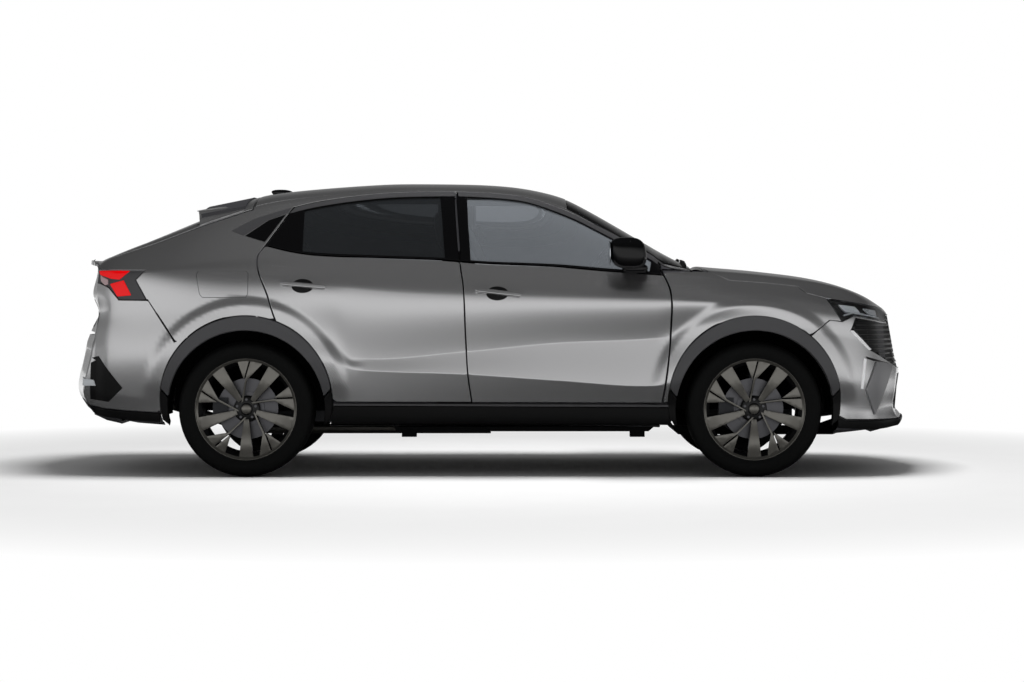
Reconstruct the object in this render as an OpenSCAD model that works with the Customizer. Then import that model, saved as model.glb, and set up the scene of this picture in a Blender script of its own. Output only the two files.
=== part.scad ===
// Coupe sport utility vehicle: a five-door body of separate pressed panels on four wheels.
// X points forward, Y to the car's left and Z up. The origin is on the ground, midway between nose and tail.

/* [Overall] */
// Overall length, nose to tail
length = 4710; // [4610:10:4810]
// Overall width over the wheel arches, without the mirrors
width = 1866; // [1830:2:1910]
// Height of the roof crown above the ground
height = 1613; // [1580:1:1650]
// Distance between the axles
wheelbase = 2738; // [2690:2:2790]
// Nose tip ahead of the front axle
front_overhang = 923; // [900:1:950]

/* [Wheels] */
// Distance between the two wheel centre planes of an axle
track = 1590; // [1570:2:1600]
// Outer diameter of a tyre
tyre_d = 730; // [710:2:740]
// Section width of a tyre
tyre_w = 245; // [225:5:250]
// Diameter over the outer lip of a rim
rim_d = 552; // [530:2:560]
// Number of repeated spoke groups in a rim
spoke_groups = 5; // [4:1:6]
// Diameter of a brake disc
disc_d = 330; // [300:5:340]
// Room between a tyre and its wheel arch
arch_room = 58; // [52:1:64]
// Width of the arch trim band
arch_trim_w = 40; // [30:1:50]

/* [Panels] */
// Gap between neighbouring panels
shut_gap = 6.5; // [6:0.5:8]
// Thickness of a fender, bumper or lamp shell
skin_t = 25; // [18:1:30]
// Thickness of a door flange and window frame
flange_t = 30; // [26:1:34]
// Thickness of a door below its window
door_t = 110; // [95:1:120]
// Thickness of the bonnet with its inner frame
bonnet_t = 30; // [24:1:38]
// Thickness of the roof with its lining
roof_t = 40; // [30:1:50]
// Thickness of the tailgate with its lining
tailgate_t = 55; // [45:1:65]
// Thickness of every pane of glass
glass_t = 5; // [4:0.5:6]
// Width of a door's window frame
frame_w = 30; // [26:1:36]
// Half width of the tailgate
tailgate_half_w = 600; // [580:2:620]

/* [Cabin] */
// Height of the seat cushions above the floor pan
seat_h = 330; // [300:5:360]
// Outer diameter of the steering wheel
steering_wheel_d = 370; // [350:5:380]
// Width of one front seat
seat_w = 520; // [480:5:540]

/* [Hidden] */
$fn = 48;

// Anchors that every body line hangs from
nose = length / 2;
tail = -length / 2;
fa = nose - front_overhang;
ra = fa - wheelbase;
hw = width / 2;
wheel_z = tyre_d / 2;
wheel_y = track / 2;

// Body lines are drawn for this roof height, and stretch with the height that is set
drawn_height = 1613;
function up_z(z) = z * height / drawn_height;
module drawn() {
    scale([1, height / drawn_height]) children();
}
sky = height + 300;
waist_z = up_z(900);

paint = "dimgray";
dark = "#202124";
satin = "#55575a";

// Smooth curve through knots [x, value, ...]: cubic pieces whose slopes follow the neighbouring knots
function span(k, x, i = 0) = i >= len(k) - 2 || x < k[i + 1][0] ? i : span(k, x, i + 1);
function slope(k, i, c) =
    let (a = max(i - 1, 0), b = min(i + 1, len(k) - 1)) (k[b][c] - k[a][c]) / (k[b][0] - k[a][0]);
function curve(k, x, c = 1) =
    let (i = span(k, x), h = k[i + 1][0] - k[i][0], t = min(max((x - k[i][0]) / h, 0), 1))
    k[i][c] * (1 + 2 * t) * (1 - t) * (1 - t) + slope(k, i, c) * h * t * (1 - t) * (1 - t)
    + k[i + 1][c] * t * t * (3 - 2 * t) + slope(k, i + 1, c) * h * t * t * (t - 1);
function lerp(a, b, t) = a + (b - a) * t;

// Guide lines of the outer skin, rows of [x, half width, height], tail to nose
function crown_line() = [[tail + 65, 0, 1180], [tail + 140, 0, 1176], [ra - 276, 0, 1432],
    [ra + 117, 0, 1556], [ra + 668, 0, 1608], [fa - 1762, 0, 1613], [fa - 1375, 0, 1602],
    [fa - 1132, 0, 1566], [fa - 952, 0, 1505], [fa - 327, 0, 1153],
    [fa - 246, 0, 1143], [fa + 77, 0, 1115], [fa + 399, 0, 1070],
    [nose - 255, 0, 990], [nose - 73, 0, 907], [nose - 20, 0, 870]];
function cant_line() = [[tail + 65, hw - 303, 1135], [ra - 594, hw - 323, 1240],
    [ra - 194, hw - 333, 1388], [ra + 94, hw - 318, 1463], [ra + 356, hw - 300, 1493],
    [ra + 706, hw - 286, 1515], [fa - 1719, hw - 283, 1522], [fa - 1249, hw - 283, 1494],
    [fa - 1065, hw - 278, 1437], [fa - 759, hw - 248, 1283], [fa - 543, hw - 208, 1168],
    [fa - 472, hw - 191, 1112], [fa - 282, hw - 188, 1108], [fa + 77, hw - 233, 1080],
    [fa + 399, hw - 273, 1035], [nose - 255, hw - 373, 960], [nose - 20, hw - 553, 860]];
function belt_line() = [[tail + 65, hw - 243, 1110], [tail + 255, hw - 143, 1120], [ra - 544, hw - 93, 1130],
    [ra, hw - 113, 1180], [ra + 406, hw - 107, 1195], [fa - 1680, hw - 101, 1178], [fa - 1062, hw - 101, 1143],
    [fa - 505, hw - 111, 1100], [fa - 282, hw - 121, 1082], [fa - 130, hw - 128, 1058],
    [fa + 244, hw - 153, 1022], [fa + 399, hw - 188, 985], [nose - 255, hw - 293, 930],
    [nose - 20, hw - 523, 845]];
function shoulder_line() = [[tail + 65, hw - 233, 1070], [tail + 255, hw - 133, 1090],
    [ra - 544, hw - 53, 1100], [ra, hw - 28, 1085], [ra + 406, hw - 20, 1030], [fa - 1832, hw - 15, 985],
    [fa - 1062, hw - 13, 965],
    [fa, hw - 8, 950], [fa + 318, hw - 43, 925], [fa + 518, hw - 103, 895], [nose - 205, hw - 233, 855],
    [nose - 20, hw - 493, 795]];
function waist_line() = [[tail + 65, hw - 233, 900], [tail + 255, hw - 113, 890], [ra - 444, hw - 28, 880],
    [ra, hw - 2, 850], [ra + 456, hw - 28, 750], [ra + 579, hw - 37, 640], [fa - 1558, hw - 40, 674],
    [fa - 1096, hw - 42, 720], [fa - 488, hw - 40, 753], [fa - 332, hw - 28, 800], [fa, hw - 2, 850],
    [fa + 318, hw - 18, 780], [fa + 518, hw - 73, 740], [nose - 205, hw - 193, 700],
    [nose - 20, hw - 453, 660]];
function bulge_line() = [[tail + 65, hw - 213, 640], [tail + 255, hw - 98, 640], [ra - 444, hw - 18, 640],
    [ra, hw, 640], [ra + 456, hw - 18, 610], [ra + 579, hw - 29, 580], [fa - 1542, hw - 25, 554],
    [fa - 1064, hw - 21, 520], [fa - 526, hw - 17, 491], [fa - 332, hw - 13, 560], [fa, hw, 640],
    [fa + 318, hw - 8, 580], [fa + 518, hw - 53, 540], [nose - 205, hw - 153, 520],
    [nose - 20, hw - 393, 490]];
function sill_top_line() = [[tail + 65, hw - 233, 480], [tail + 255, hw - 123, 430], [ra - 444, hw - 53, 400],
    [ra, hw - 33, 400], [ra + 473, hw - 53, 400], [fa - 1432, hw - 61, 395], [fa - 496, hw - 57, 392],
    [fa, hw - 28, 400], [fa + 318, hw - 33, 400], [fa + 518, hw - 68, 390], [nose - 205, hw - 153, 370],
    [nose - 20, hw - 373, 355]];
function sill_low_line() = [[tail + 65, hw - 293, 340], [tail + 255, hw - 193, 300], [ra - 444, hw - 93, 285],
    [ra + 472, hw - 88, 288], [fa - 1063, hw - 88, 290], [fa - 507, hw - 83, 280], [fa, hw - 63, 270],
    [fa + 406, hw - 53, 250], [fa + 518, hw - 83, 250], [nose - 205, hw - 163, 255],
    [nose - 20, hw - 373, 288]];

// Nose and tail profiles in side view, rows of [height, reach beyond the last station]
function nose_profile() = [[250, -4], [290, 20], [360, -28], [460, -10], [564, 3], [645, -21], [757, -45],
    [822, -66], [907, -53]];
function tail_profile() = [[330, 3], [420, 58], [482, 65], [660, 25], [713, 16], [795, -17], [878, -58],
    [987, -21], [1134, -49], [1180, -3]];
nose_s = nose - 20;
tail_s = tail + 65;
end_blend = 430;

// Skin section at station s. Each guide point moves inward by its share of the inset
inset_y = [0, 0.7, 1, 1, 1, 0.97, 0.9, 0.7, 0.25, 0.1, 0];
inset_z = [-1, -0.7, 0, 0, 0, 0.2, 0.4, 0.7, 0.95, 1, 1];
function guides(s) =
    let (c = [for (k = [sill_low_line(), sill_top_line(), bulge_line(), waist_line(), shoulder_line(),
            belt_line(), cant_line()]) [curve(k, s, 1), up_z(curve(k, s, 2))]],
        top = up_z(curve(crown_line(), s, 2)), rail = c[6])
    concat([[c[0][0] - 90, c[0][1] - 25]], c,
        [[0.83 * rail[0], lerp(rail[1], top, 0.45)], [0.45 * rail[0], lerp(rail[1], top, 0.86)], [0, top]]);

// Points between the guides follow chord-length cubics, so that the section stays smooth
function chord_slope(g, i) =
    i == len(g) - 1 ? [-1, 0] :
    let (a = max(i - 1, 0), d = norm(g[i + 1] - g[i]) + (i > 0 ? norm(g[i] - g[a]) : 0)) (g[i + 1] - g[a]) / d;
function between(g, i, t) =
    let (h = norm(g[i + 1] - g[i]))
    g[i] * (1 + 2 * t) * (1 - t) * (1 - t) + chord_slope(g, i) * h * t * (1 - t) * (1 - t)
    + g[i + 1] * t * t * (3 - 2 * t) + chord_slope(g, i + 1) * h * t * t * (t - 1);
section_cuts = [1, 1, 1, 1, 2, 2, 2, 1, 1, 1];
function fine(g) = concat([for (i = [0:len(g) - 2]) each [for (j = [0:section_cuts[i] - 1])
    between(g, i, j / section_cuts[i])]], [g[len(g) - 1]]);

function ramp(s) = s > nose_s - end_blend ? pow((s - nose_s + end_blend) / end_blend, 2)
    : s < tail_s + end_blend ? pow((tail_s + end_blend - s) / end_blend, 2) : 0;
function reach(s, z) =
    let (drawn_z = z * drawn_height / height)
    s > 0 ? curve(nose_profile(), drawn_z) : -curve(tail_profile(), drawn_z);
function section(s, dy, dz, dx, rough) =
    let (g = guides(s), moved = [for (i = [0:len(g) - 1]) [max(g[i][0] - dy[i], 0), g[i][1] - dz[i]]])
    [for (p = rough ? moved : fine(moved)) [(s + ramp(s) * reach(s, p[1])) * (1 - dx / nose), p[0], p[1]]];

// Stations lie close where the lines bend: at the ends, the screen pillars and the end of the roof
stations = concat([for (k = [0, 50, 130, 250, 390]) tail_s + k],
    [for (k = [-400, -200, 0, 150, 420, 760]) ra + k],
    [for (k = [-1740, -1500, -1260, -1090, -960, -800, -660, -560, -480, -380, -300, -40, 140, 320]) fa + k],
    [for (k = [450, 350, 240, 130, 50, 0]) nose_s - k]);

// Closed solid through every station, the left side first and its mirror image after the crown
module loft(dy, dz, dx, rough = false) {
    rows = [for (s = stations) let (h = section(s, dy, dz, dx, rough), n = len(h) - 1)
        concat(h, [for (i = [n - 1:-1:0]) [h[i][0], -h[i][1], h[i][2]]])];
    m = len(rows[0]);
    last = len(rows) - 1;
    half = (m - 1) / 2;
    faces = concat(
        [for (r = [0:last - 1], i = [0:m - 1]) let (j = (i + 1) % m) each
            [[r * m + i, (r + 1) * m + i, (r + 1) * m + j], [r * m + i, (r + 1) * m + j, r * m + j]]],
        [for (i = [0:half - 1]) let (a = i, b = i + 1, c = m - 2 - i, d = m - 1 - i) each
            concat([[a, b, d]], b == c ? [] : [[b, c, d]])],
        [for (i = [0:half - 1])
            let (o = last * m, a = o + i, b = o + i + 1, c = o + m - 2 - i, d = o + m - 1 - i) each
            concat([[a, d, b]], b == c ? [] : [[b, d, c]])]);
    polyhedron([for (r = rows) each r], faces, convexity = 8);
}
module skin_at(d) {
    loft(d * inset_y, d * inset_z, d);
}
// Inner faces of the doors and of the cabin walls: fixed depths at each guide line
module door_inner_face() {
    loft([0, 0, door_t - 10, door_t, door_t - 12, door_t - 4, 60, flange_t, 10, 4, 0],
        [0, 0, 0, 0, 0, 0, 30, flange_t, flange_t, flange_t, flange_t], 0);
}
cabin_wall = door_t + 28;
module cabin_space() {
    loft([130, 150, 170, cabin_wall, cabin_wall - 8, cabin_wall, 95, 75, 20, 6, 0],
        [-60, -60, -60, 0, 0, 0, 30, 55, 60, 55, 55], 300, true);
}
// A pressed panel is a free-form skin, finished as one faceted solid
module pressed() {
    resize([0, 0, 0]) children();
}
module layer(d0, d1) {
    difference() {
        skin_at(d0);
        skin_at(d1);
    }
}
// Prisms: a side-view outline carried across the car, a plan outline carried up, a front outline carried along
module across(y0, y1) {
    translate([0, y1, 0]) rotate([90, 0, 0]) linear_extrude(y1 - y0) children();
}
module upward(z0, z1) {
    translate([0, 0, z0]) linear_extrude(z1 - z0) children();
}
module along(x0, x1) {
    translate([x0, 0, 0]) rotate([90, 0, 90]) linear_extrude(x1 - x0) children();
}
module other_side(right) {
    if (right) mirror([0, 1, 0]) children();
    else children();
}
big = 3000;

// Shut lines in side view, rows of [height, x], and the window's upper edge, rows of [x, height]
door_low = 395;
function front_edge() = [[380, fa - 498], [621, fa - 466], [801, fa - 451], [1000, fa - 454],
    [1120, fa - 500]];
function pillar_edge() = [[380, fa - 1519], [541, fa - 1542], [746, fa - 1555], [1021, fa - 1567],
    [1142, fa - 1585], [1560, fa - 1619]];
function rear_edge() = [[700, ra + 230], [854, ra + 159], [986, ra + 116], [1115, ra + 65], [1192, ra + 56],
    [1258, ra + 99], [1424, ra + 211], [1500, ra + 262]];
function window_top() = [[ra + 94, 1388], [ra + 355, 1458], [ra + 705, 1506],
    [fa - 1719, 1518], [fa - 1511, 1515], [fa - 1249, 1492], [fa - 1065, 1435],
    [fa - 912, 1369], [fa - 543, 1167], [fa - 475, 1113]];
function window_low() = [[ra + 90, 1262], [ra + 230, 1228], [ra + 367, 1208], [ra + 713, 1193],
    [fa - 1680, 1180], [fa - 1457, 1162], [fa - 1062, 1145], [fa - 794, 1122], [fa - 505, 1101],
    [fa - 400, 1090]];
// Front shut line as points, the same for the door, the fender and the body side
front_edge_top = 1120;
front_edge_points = [for (i = [0:9]) let (z = lerp(380, front_edge_top, i / 9)) [curve(front_edge(), z), z]];
function moved_by(points, dx) = [for (p = points) [p[0] + dx, p[1]]];
// Extra play of the window frames, which lean inward from the upright hinge axis
lean_play = 4;
function play(z) = z > 1150 ? lean_play : 0;
// The top rear corner of the rear door, which swings back as it opens, stands clear of its opening
lean_room = 9;

arch_r = wheel_z + arch_room;
trim_r = arch_r + arch_trim_w;
trim_lift = arch_trim_w;
module arch_2d(x, grow = 0) {
    translate([x, wheel_z]) circle(arch_r + grow, $fn = 36);
}
module trim_2d(x, grow = 0) {
    translate([x, wheel_z + trim_lift]) circle(trim_r + grow, $fn = 36);
}
function run(a, b, n) = [for (i = [0:n]) lerp(a, b, i / n)];
module frame_top_2d() {
    xs = run(ra + 94, fa - 475, 16);
    drawn() polygon(concat([for (x = xs) [x, curve(window_top(), x) + frame_w]],
        [[fa - 380, 900], [fa - 380, 0], [ra, 0]]));
}
module front_door_2d() {
    zs = run(door_low, 1500, 12);
    difference() {
        intersection() {
            drawn() polygon(concat(front_edge_points, [[front_edge_points[9][0], 1500]],
                [for (i = [12:-1:0]) [curve(pillar_edge(), zs[i]) + play(zs[i]), zs[i]]]));
            frame_top_2d();
            drawn() translate([ra, door_low]) square([wheelbase, big]);
        }
        trim_2d(fa, shut_gap / 2);
    }
}
module rear_door_2d(slack) {
    zs = run(door_low, 1510, 12);
    difference() {
        intersection() {
            drawn() polygon(concat([for (z = zs) [curve(pillar_edge(), z) - play(z), z]],
                [for (i = [12:-1:0]) [curve(rear_edge(), max(zs[i], 700)) + 1.5 * play(zs[i])
                    + (zs[i] > 1300 ? slack : 0), zs[i]]]));
            frame_top_2d();
        }
        trim_2d(ra, shut_gap / 2);
    }
}
module door_2d(rear, slack = 0) {
    if (rear) rear_door_2d(slack);
    else front_door_2d();
}
// Window openings of the two doors, inside the frames and clear of the broad posts at the centre pillar
front_post_w = 60;
rear_post_w = 85;
module window_2d(rear) {
    xs = rear ? run(ra + 120, fa - 1600, 14) : run(fa - 1600, fa - 555, 14);
    lows = [for (i = [14:-1:0]) [xs[i], curve(window_low(), xs[i])]];
    zs = run(1000, 1560, 4);
    difference() {
        intersection() {
            drawn() polygon(concat(
                [for (x = xs) [x, max(curve(window_top(), x), curve(window_low(), x) + 1)]], lows));
            offset(delta = -frame_w) door_2d(rear);
        }
        drawn() polygon(concat([for (z = zs) [curve(pillar_edge(), z) - rear_post_w, z]],
            [for (i = [4:-1:0]) [curve(pillar_edge(), zs[i]) + front_post_w, zs[i]]]));
    }
}
module below_belt_2d(drop) {
    xs = run(ra - 100, fa - 200, 8);
    drawn() polygon(concat([for (x = xs) [x, curve(window_low(), x) - drop]],
        [[fa - 200, 0], [ra - 100, 0]]));
}

// Doors
box_inset = 55;
box_room = 12;
flange_room = 6;
foot_room = 30;
// Free sweep of the rear door's leading edge behind the rear edge of the front door
sweep_r = 66.5;
module door(rear, right) {
    color(paint) other_side(right) pressed() difference() {
        union() {
            intersection() {
                layer(0, flange_t);
                across(300, big) offset(delta = -shut_gap / 2) door_2d(rear, lean_room);
            }
            intersection() {
                difference() {
                    skin_at(flange_t - 1);
                    door_inner_face();
                }
                across(300, big) intersection() {
                    offset(delta = -box_inset) door_2d(rear);
                    below_belt_2d(15);
                }
            }
        }
        across(300, big) window_2d(rear);
        // the roof panel and the screen keep their room above the frame
        upward(waist_z, sky) rect_2d(gate_front_x, header_x + frame_room, roof_half_w + frame_room);
        upward(waist_z, sky) polygon([[header_x - 1, 0], [header_x - 1, roof_half_w + frame_room],
            [fa - 759, hw - 268], [fa - 543, hw - 225], [fa - 400, hw - 200], [fa - 400, 0]]);
        for (z = hinge_heights) hinge_room(rear ? rear_hinge : front_hinge, z);
        if (!rear) translate([rear_hinge[0], rear_hinge[1], up_z(840)]) cylinder(h = 180, r = sweep_r);
    }
}
frame_room = 8;
glass_room = 0.4;
glass_depth = 12;
module door_glass(rear, right) {
    color("#30343a", 0.5) other_side(right) pressed() intersection() {
        layer(glass_depth, glass_depth + glass_t);
        across(300, big) offset(delta = -glass_room) window_2d(rear);
    }
}
// Upright hinge axes, just inside the leading edge of each door
hinge_back = 53;
front_hinge = [fa - 451 - hinge_back, hw - 43];
rear_hinge = [fa - 1564 - hinge_back, hw - 47];
front_pocket = [71, 76];
rear_pocket = [113, 78];
// Room in the pillar for the leading edge of an opening door: radius at the foot and higher up
module hinge_pocket(at, radii, shrink = 0) {
    translate([at[0], at[1], up_z(door_low - 30)])
        cylinder(h = 370, r1 = radii[0] - shrink, r2 = radii[1] - shrink);
    translate([at[0], at[1], up_z(door_low + 330)]) cylinder(h = 420, r = radii[1] - shrink);
}
// Door hinges: an upright pin on a goose-neck leaf that ends at the wall of the pocket
hinge_heights = [up_z(500), up_z(925)];
hinge_h = 46;
door_pin_r = 8;
door_pin_end = 20;
door_pin_play = 0.3;
door_pin_room = 6;
leaf_t = 6;
leaf_back = 11;
module door_hinge(at, radii, z, leaf_depth) {
    intersection() {
        translate([at[0], at[1], z]) {
            translate([0, 0, -door_pin_end]) cylinder(h = hinge_h + 2 * door_pin_end, r = door_pin_r);
            translate([-leaf_back, -leaf_depth, 0]) cube([leaf_t, leaf_depth - 3, hinge_h]);
            translate([-leaf_back, -leaf_depth, 0]) cube([radii[0], leaf_t, hinge_h]);
        }
        hinge_pocket(at, radii, seam);
    }
}
// Room in the door for a leaf, and the bores above and below it in which the pin turns
module hinge_room(at, z) {
    translate([at[0], at[1], z - 8]) {
        cylinder(h = hinge_h + 16, r = door_pin_r + door_pin_room);
        translate([-leaf_back - 17, -110, 0]) cube([120, 114, hinge_h + 16]);
    }
    translate([at[0], at[1], z - door_pin_end - 6])
        cylinder(h = hinge_h + 2 * door_pin_end + 12, r = door_pin_r + door_pin_play);
}
module hinges() {
    color("#6b6d70") {
        for (right = [false, true]) other_side(right) {
            door_hinge(front_hinge, front_pocket, hinge_heights[0], 66);
            door_hinge(front_hinge, front_pocket, hinge_heights[1], 66);
            door_hinge(rear_hinge, rear_pocket, hinge_heights[0], 86);
            door_hinge(rear_hinge, rear_pocket, hinge_heights[1], 66);
            translate([bonnet_hinge[0], lug_y - 10, bonnet_hinge[1]]) cross_pin(118, hinge_pin_r);
            translate([gate_hinge[0], hinge_y - 28, gate_hinge[1]]) cross_pin(56, hinge_pin_r);
        }
    }
}
module cross_pin(h, r) {
    rotate([-90, 0, 0]) cylinder(h = h, r = r, $fn = 32);
}

// Body sides: sill, pillars, roof rail and rear quarter, with the two door openings
roof_half_w = hw - 358;
module side_region_2d() {
    polygon([[fa - 300, 200], [fa - 300, sky], [tail - 50, sky], [tail - 50, 200]]);
}
module bumper_rear_2d(grow = 0) {
    offset(delta = grow) drawn() polygon([[ra - 375, 728], [ra - 530, 954], [tail - 100, 954],
        [tail - 100, 200], [ra - 300, 200], [ra - 300, 560]]);
}
module tail_lamp_2d(grow = 0) {
    offset(delta = grow) drawn() polygon([[tail - 40, 1117], [ra - 552, 1117], [ra - 602, 1068],
        [ra - 552, 957], [ra - 716, 957], [ra - 780, 1010], [tail - 40, 1040]]);
}
module side_frame(right) {
    color(paint) other_side(right) pressed() difference() {
        intersection() {
            difference() {
                skin_at(0);
                cabin_space();
            }
            across(roof_half_w, big) side_region_2d();
        }
        // outer skin ahead of the front door belongs to the fender
        intersection() {
            difference() {
                skin_at(-20);
                skin_at(skin_t + seam);
            }
            across(300, big) drawn() polygon(concat([[front_edge_points[0][0] - 1, 0]],
                moved_by(front_edge_points, -1), [[big, front_edge_top], [big, 0]]));
        }
        for (rear = [false, true]) {
            intersection() {
                difference() {
                    skin_at(-20);
                    skin_at(flange_t + flange_room);
                }
                across(roof_half_w + frame_room / 2, big) offset(delta = shut_gap / 2) door_2d(rear);
            }
            across(300, big) offset(delta = box_room - box_inset) door_2d(rear);
        }
        // the foot of the screen pillar stands back from the corner of the opening door
        intersection() {
            difference() {
                skin_at(-20);
                skin_at(flange_t + foot_room);
            }
            across(hw - 228, big) intersection() {
                offset(delta = shut_gap / 2) door_2d(false);
                drawn() translate([fa - 560, 1080]) square([70, 55]);
            }
        }
        hinge_pocket(front_hinge, front_pocket);
        hinge_pocket(rear_hinge, rear_pocket);
        // sill trim, floor pan, wheel houses, rear bumper and lamp take their own room
        intersection() {
            difference() {
                skin_at(-20);
                skin_at(sill_trim_t + seam);
            }
            across(300, big) sill_2d(seam);
        }
        upward(0, 470) rect_2d(tail, nose, pan_half + seam);
        across(300, big) trim_2d(ra, seam);
        across(300, big) arch_2d(fa, 20);
        across(300, big) bumper_rear_2d(seam / 2);
        across(300, big) tail_lamp_2d(seam);
        upward(500, sky) rect_2d(tail - 200, gate_front_x + gate_gap, tailgate_half_w + shut_gap);
        // windscreen, cowl and bonnet lie above
        upward(500, sky) windscreen_2d(1);
        upward(waist_z, sky) rect_2d(cowl_back_x - seam, big, cowl_half_w + seam);
        across(-big, big) bonnet_2d(shut_gap);
        upward(200, 700) polygon([[big, -big], [fa - 320, -big], [fa - 320, big], [big, big]]);
    }
}
// Fixed neighbours meet with a hairline seam
seam = 0.4;
header_x = fa - 1002;
screen_low_x = fa - 325;
bonnet_back_x = fa - 262;
gate_front_x = ra + 10;
gate_gap = 10;
module windscreen_2d(grow = 0) {
    polygon([[header_x - grow, roof_half_w + grow], [screen_low_x + grow, hw - 235 + grow],
        [screen_low_x + grow, -hw + 235 - grow], [header_x - grow, -roof_half_w - grow]]);
}
module bonnet_2d(grow = 0) {
    offset(delta = grow) drawn() polygon([[bonnet_back_x, 1128], [fa - 228, 1108], [fa - 130, 1062],
        [fa + 76, 1048], [fa + 244, 1030], [fa + 290, 992], [fa + 396, 966], [fa + 729, 918],
        [nose - 60, 888], [nose + 60, 888],
        [nose + 60, 1700], [bonnet_back_x, 1700]]);
}
module rect_2d(x0, x1, half) {
    polygon([[x0, -half], [x1, -half], [x1, half], [x0, half]]);
}

// The tailgate turns on two cross pins just under the end of the roof
gate_hinge_x = gate_front_x - 20;
gate_hinge_depth = 13;
gate_hinge = [gate_hinge_x, up_z(curve(crown_line(), gate_hinge_x, 2)) - gate_hinge_depth];
hinge_y = 140;
module roof_panel() {
    color(paint) pressed() difference() {
        union() {
            intersection() {
                layer(0, roof_t);
                upward(waist_z, sky) rect_2d(gate_front_x + gate_gap, header_x - seam, roof_half_w - seam);
            }
            // two tongues carry the tailgate
            for (side = [-1, 1]) intersection() {
                layer(1, 30);
                upward(waist_z, sky) translate([0, side * hinge_y])
                    rect_2d(gate_hinge[0] - 13, gate_front_x + gate_gap + 4, 10);
            }
            // stub aerial at the rear end of the roof
            across(-9, 9) polygon([[ra + 52, height - 80], [ra + 58, height - 40], [ra + 72, height - 34],
                [ra + 150, height - 36], [ra + 182, height - 60]]);
        }
        for (side = [-1, 1]) translate([gate_hinge[0], side * hinge_y - 40, gate_hinge[1]])
            cross_pin(80, hinge_pin_r + hinge_play);
    }
}
module windscreen() {
    color("#5a6068", 0.5) pressed() intersection() {
        layer(4, 4 + glass_t);
        upward(waist_z, sky) offset(delta = -seam) windscreen_2d();
    }
}
// Recessed tray between screen and bonnet
cowl_depth = 64;
cowl_t = 16;
cowl_back_x = fa - 352;
cowl_half_w = hw - 240;
module cowl() {
    color(dark) pressed() union() {
        intersection() {
            layer(cowl_depth, cowl_depth + cowl_t);
            upward(waist_z, sky) rect_2d(cowl_back_x, bonnet_back_x + 45, cowl_half_w);
        }
        intersection() {
            layer(4.3 + glass_t, cowl_depth + cowl_t);
            upward(waist_z, sky) rect_2d(cowl_back_x, screen_low_x - 1, cowl_half_w);
        }
    }
}
module wipers() {
    color(dark) pressed() for (w = [[-60, 560], [-640, -90]]) intersection() {
        layer(-14, 3.6);
        upward(waist_z, sky) polygon([[fa - 362, w[0]], [fa - 350, w[0]], [fa - 338, w[1]], [fa - 350, w[1]]]);
    }
}

module fender_2d() {
    difference() {
        drawn() polygon(concat([[front_edge_points[0][0] + shut_gap / 2, 300]],
            moved_by(front_edge_points, shut_gap / 2), [[fa - 228, front_edge_top], [fa + 398, 975],
            [fa + 474, 837], [fa + 405, 846], [fa + 308, 771], [fa + 300, 300]]));
        bonnet_2d(shut_gap);
        trim_2d(fa, seam);
        sill_2d(seam);
        headlamp_2d(seam);
    }
}
// The bonnet turns on a cross pin in each fender, through a lug under its rear corner
bonnet_hinge = [bonnet_back_x + 12, up_z(1102)];
lug_y = hw - 323;
hinge_pin_r = 5;
hinge_play = 0.1;
fender_in_y = hw - 243;
module fender(right) {
    color(paint) other_side(right) pressed() difference() {
        intersection() {
            layer(0, skin_t);
            across(fender_in_y, big) fender_2d();
        }
        hinge_pocket(front_hinge, front_pocket);
        upward(500, sky) windscreen_2d(1);
        translate([bonnet_hinge[0], lug_y, bonnet_hinge[1]]) cross_pin(130, hinge_pin_r + hinge_play);
    }
}
module headlamp_2d(grow = 0) {
    offset(delta = grow) drawn() polygon([[fa + 398, 956], [fa + 742, 908], [fa + 760, 836],
        [fa + 545, 868], [fa + 474, 837]]);
}
lamp_inner_y = hw - 400;
module headlamps() {
    color("#aab2b8") pressed() for (right = [false, true]) other_side(right) difference() {
        intersection() {
            layer(0, 40);
            across(lamp_inner_y, big) headlamp_2d();
        }
        across(-big, big) bonnet_2d(shut_gap);
    }
}
module grille_2d(grow = 0) {
    offset(delta = grow) drawn() polygon([[-470, 872], [470, 872], [560, 760], [600, 640], [520, 560],
        [-520, 560], [-600, 640], [-560, 760]]);
}
module grille() {
    color(dark) pressed() difference() {
        intersection() {
            layer(8, 34);
            along(fa + 400, big) grille_2d();
        }
        across(-big, big) bonnet_2d(shut_gap);
        for (right = [false, true]) other_side(right) across(lamp_inner_y - seam, big) headlamp_2d(seam);
    }
}
drl_w = 14;
module daytime_2d(grow = 0) {
    offset(delta = grow) drawn() {
        polygon([[fa + 525, 780], [fa + 637, 684], [fa + 637 + drl_w, 684 + drl_w],
            [fa + 525 + drl_w, 780 + drl_w]]);
        polygon([[fa + 602, 633], [fa + 582, 470], [fa + 582 + drl_w, 470], [fa + 602 + drl_w, 633]]);
    }
}
module daytime_lamps() {
    color("white") pressed() for (right = [false, true]) other_side(right) intersection() {
        layer(-1, skin_t);
        across(lamp_inner_y, big) daytime_2d();
    }
}
module front_bumper() {
    color(paint) pressed() difference() {
        intersection() {
            layer(0, skin_t);
            across(-big, big) drawn() polygon([[fa + 301, 200], [fa + 301, 560], [fa + 309, 771],
                [fa + 405, 845], [fa + 474, 836], [fa + 474, 1200], [nose + 100, 1200], [nose + 100, 200]]);
        }
        across(-big, big) bonnet_2d(shut_gap);
        across(-big, big) trim_2d(fa, seam);
        along(fa + 400, big) grille_2d(seam);
        for (right = [false, true]) other_side(right) {
            across(lamp_inner_y - seam, big) headlamp_2d(seam);
            across(lamp_inner_y - seam, big) daytime_2d(seam);
        }
        upward(0, 240 + 45) rect_2d(fa + 250, nose - 250, hw - 150);
    }
}
bumper_top = 760;
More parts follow.
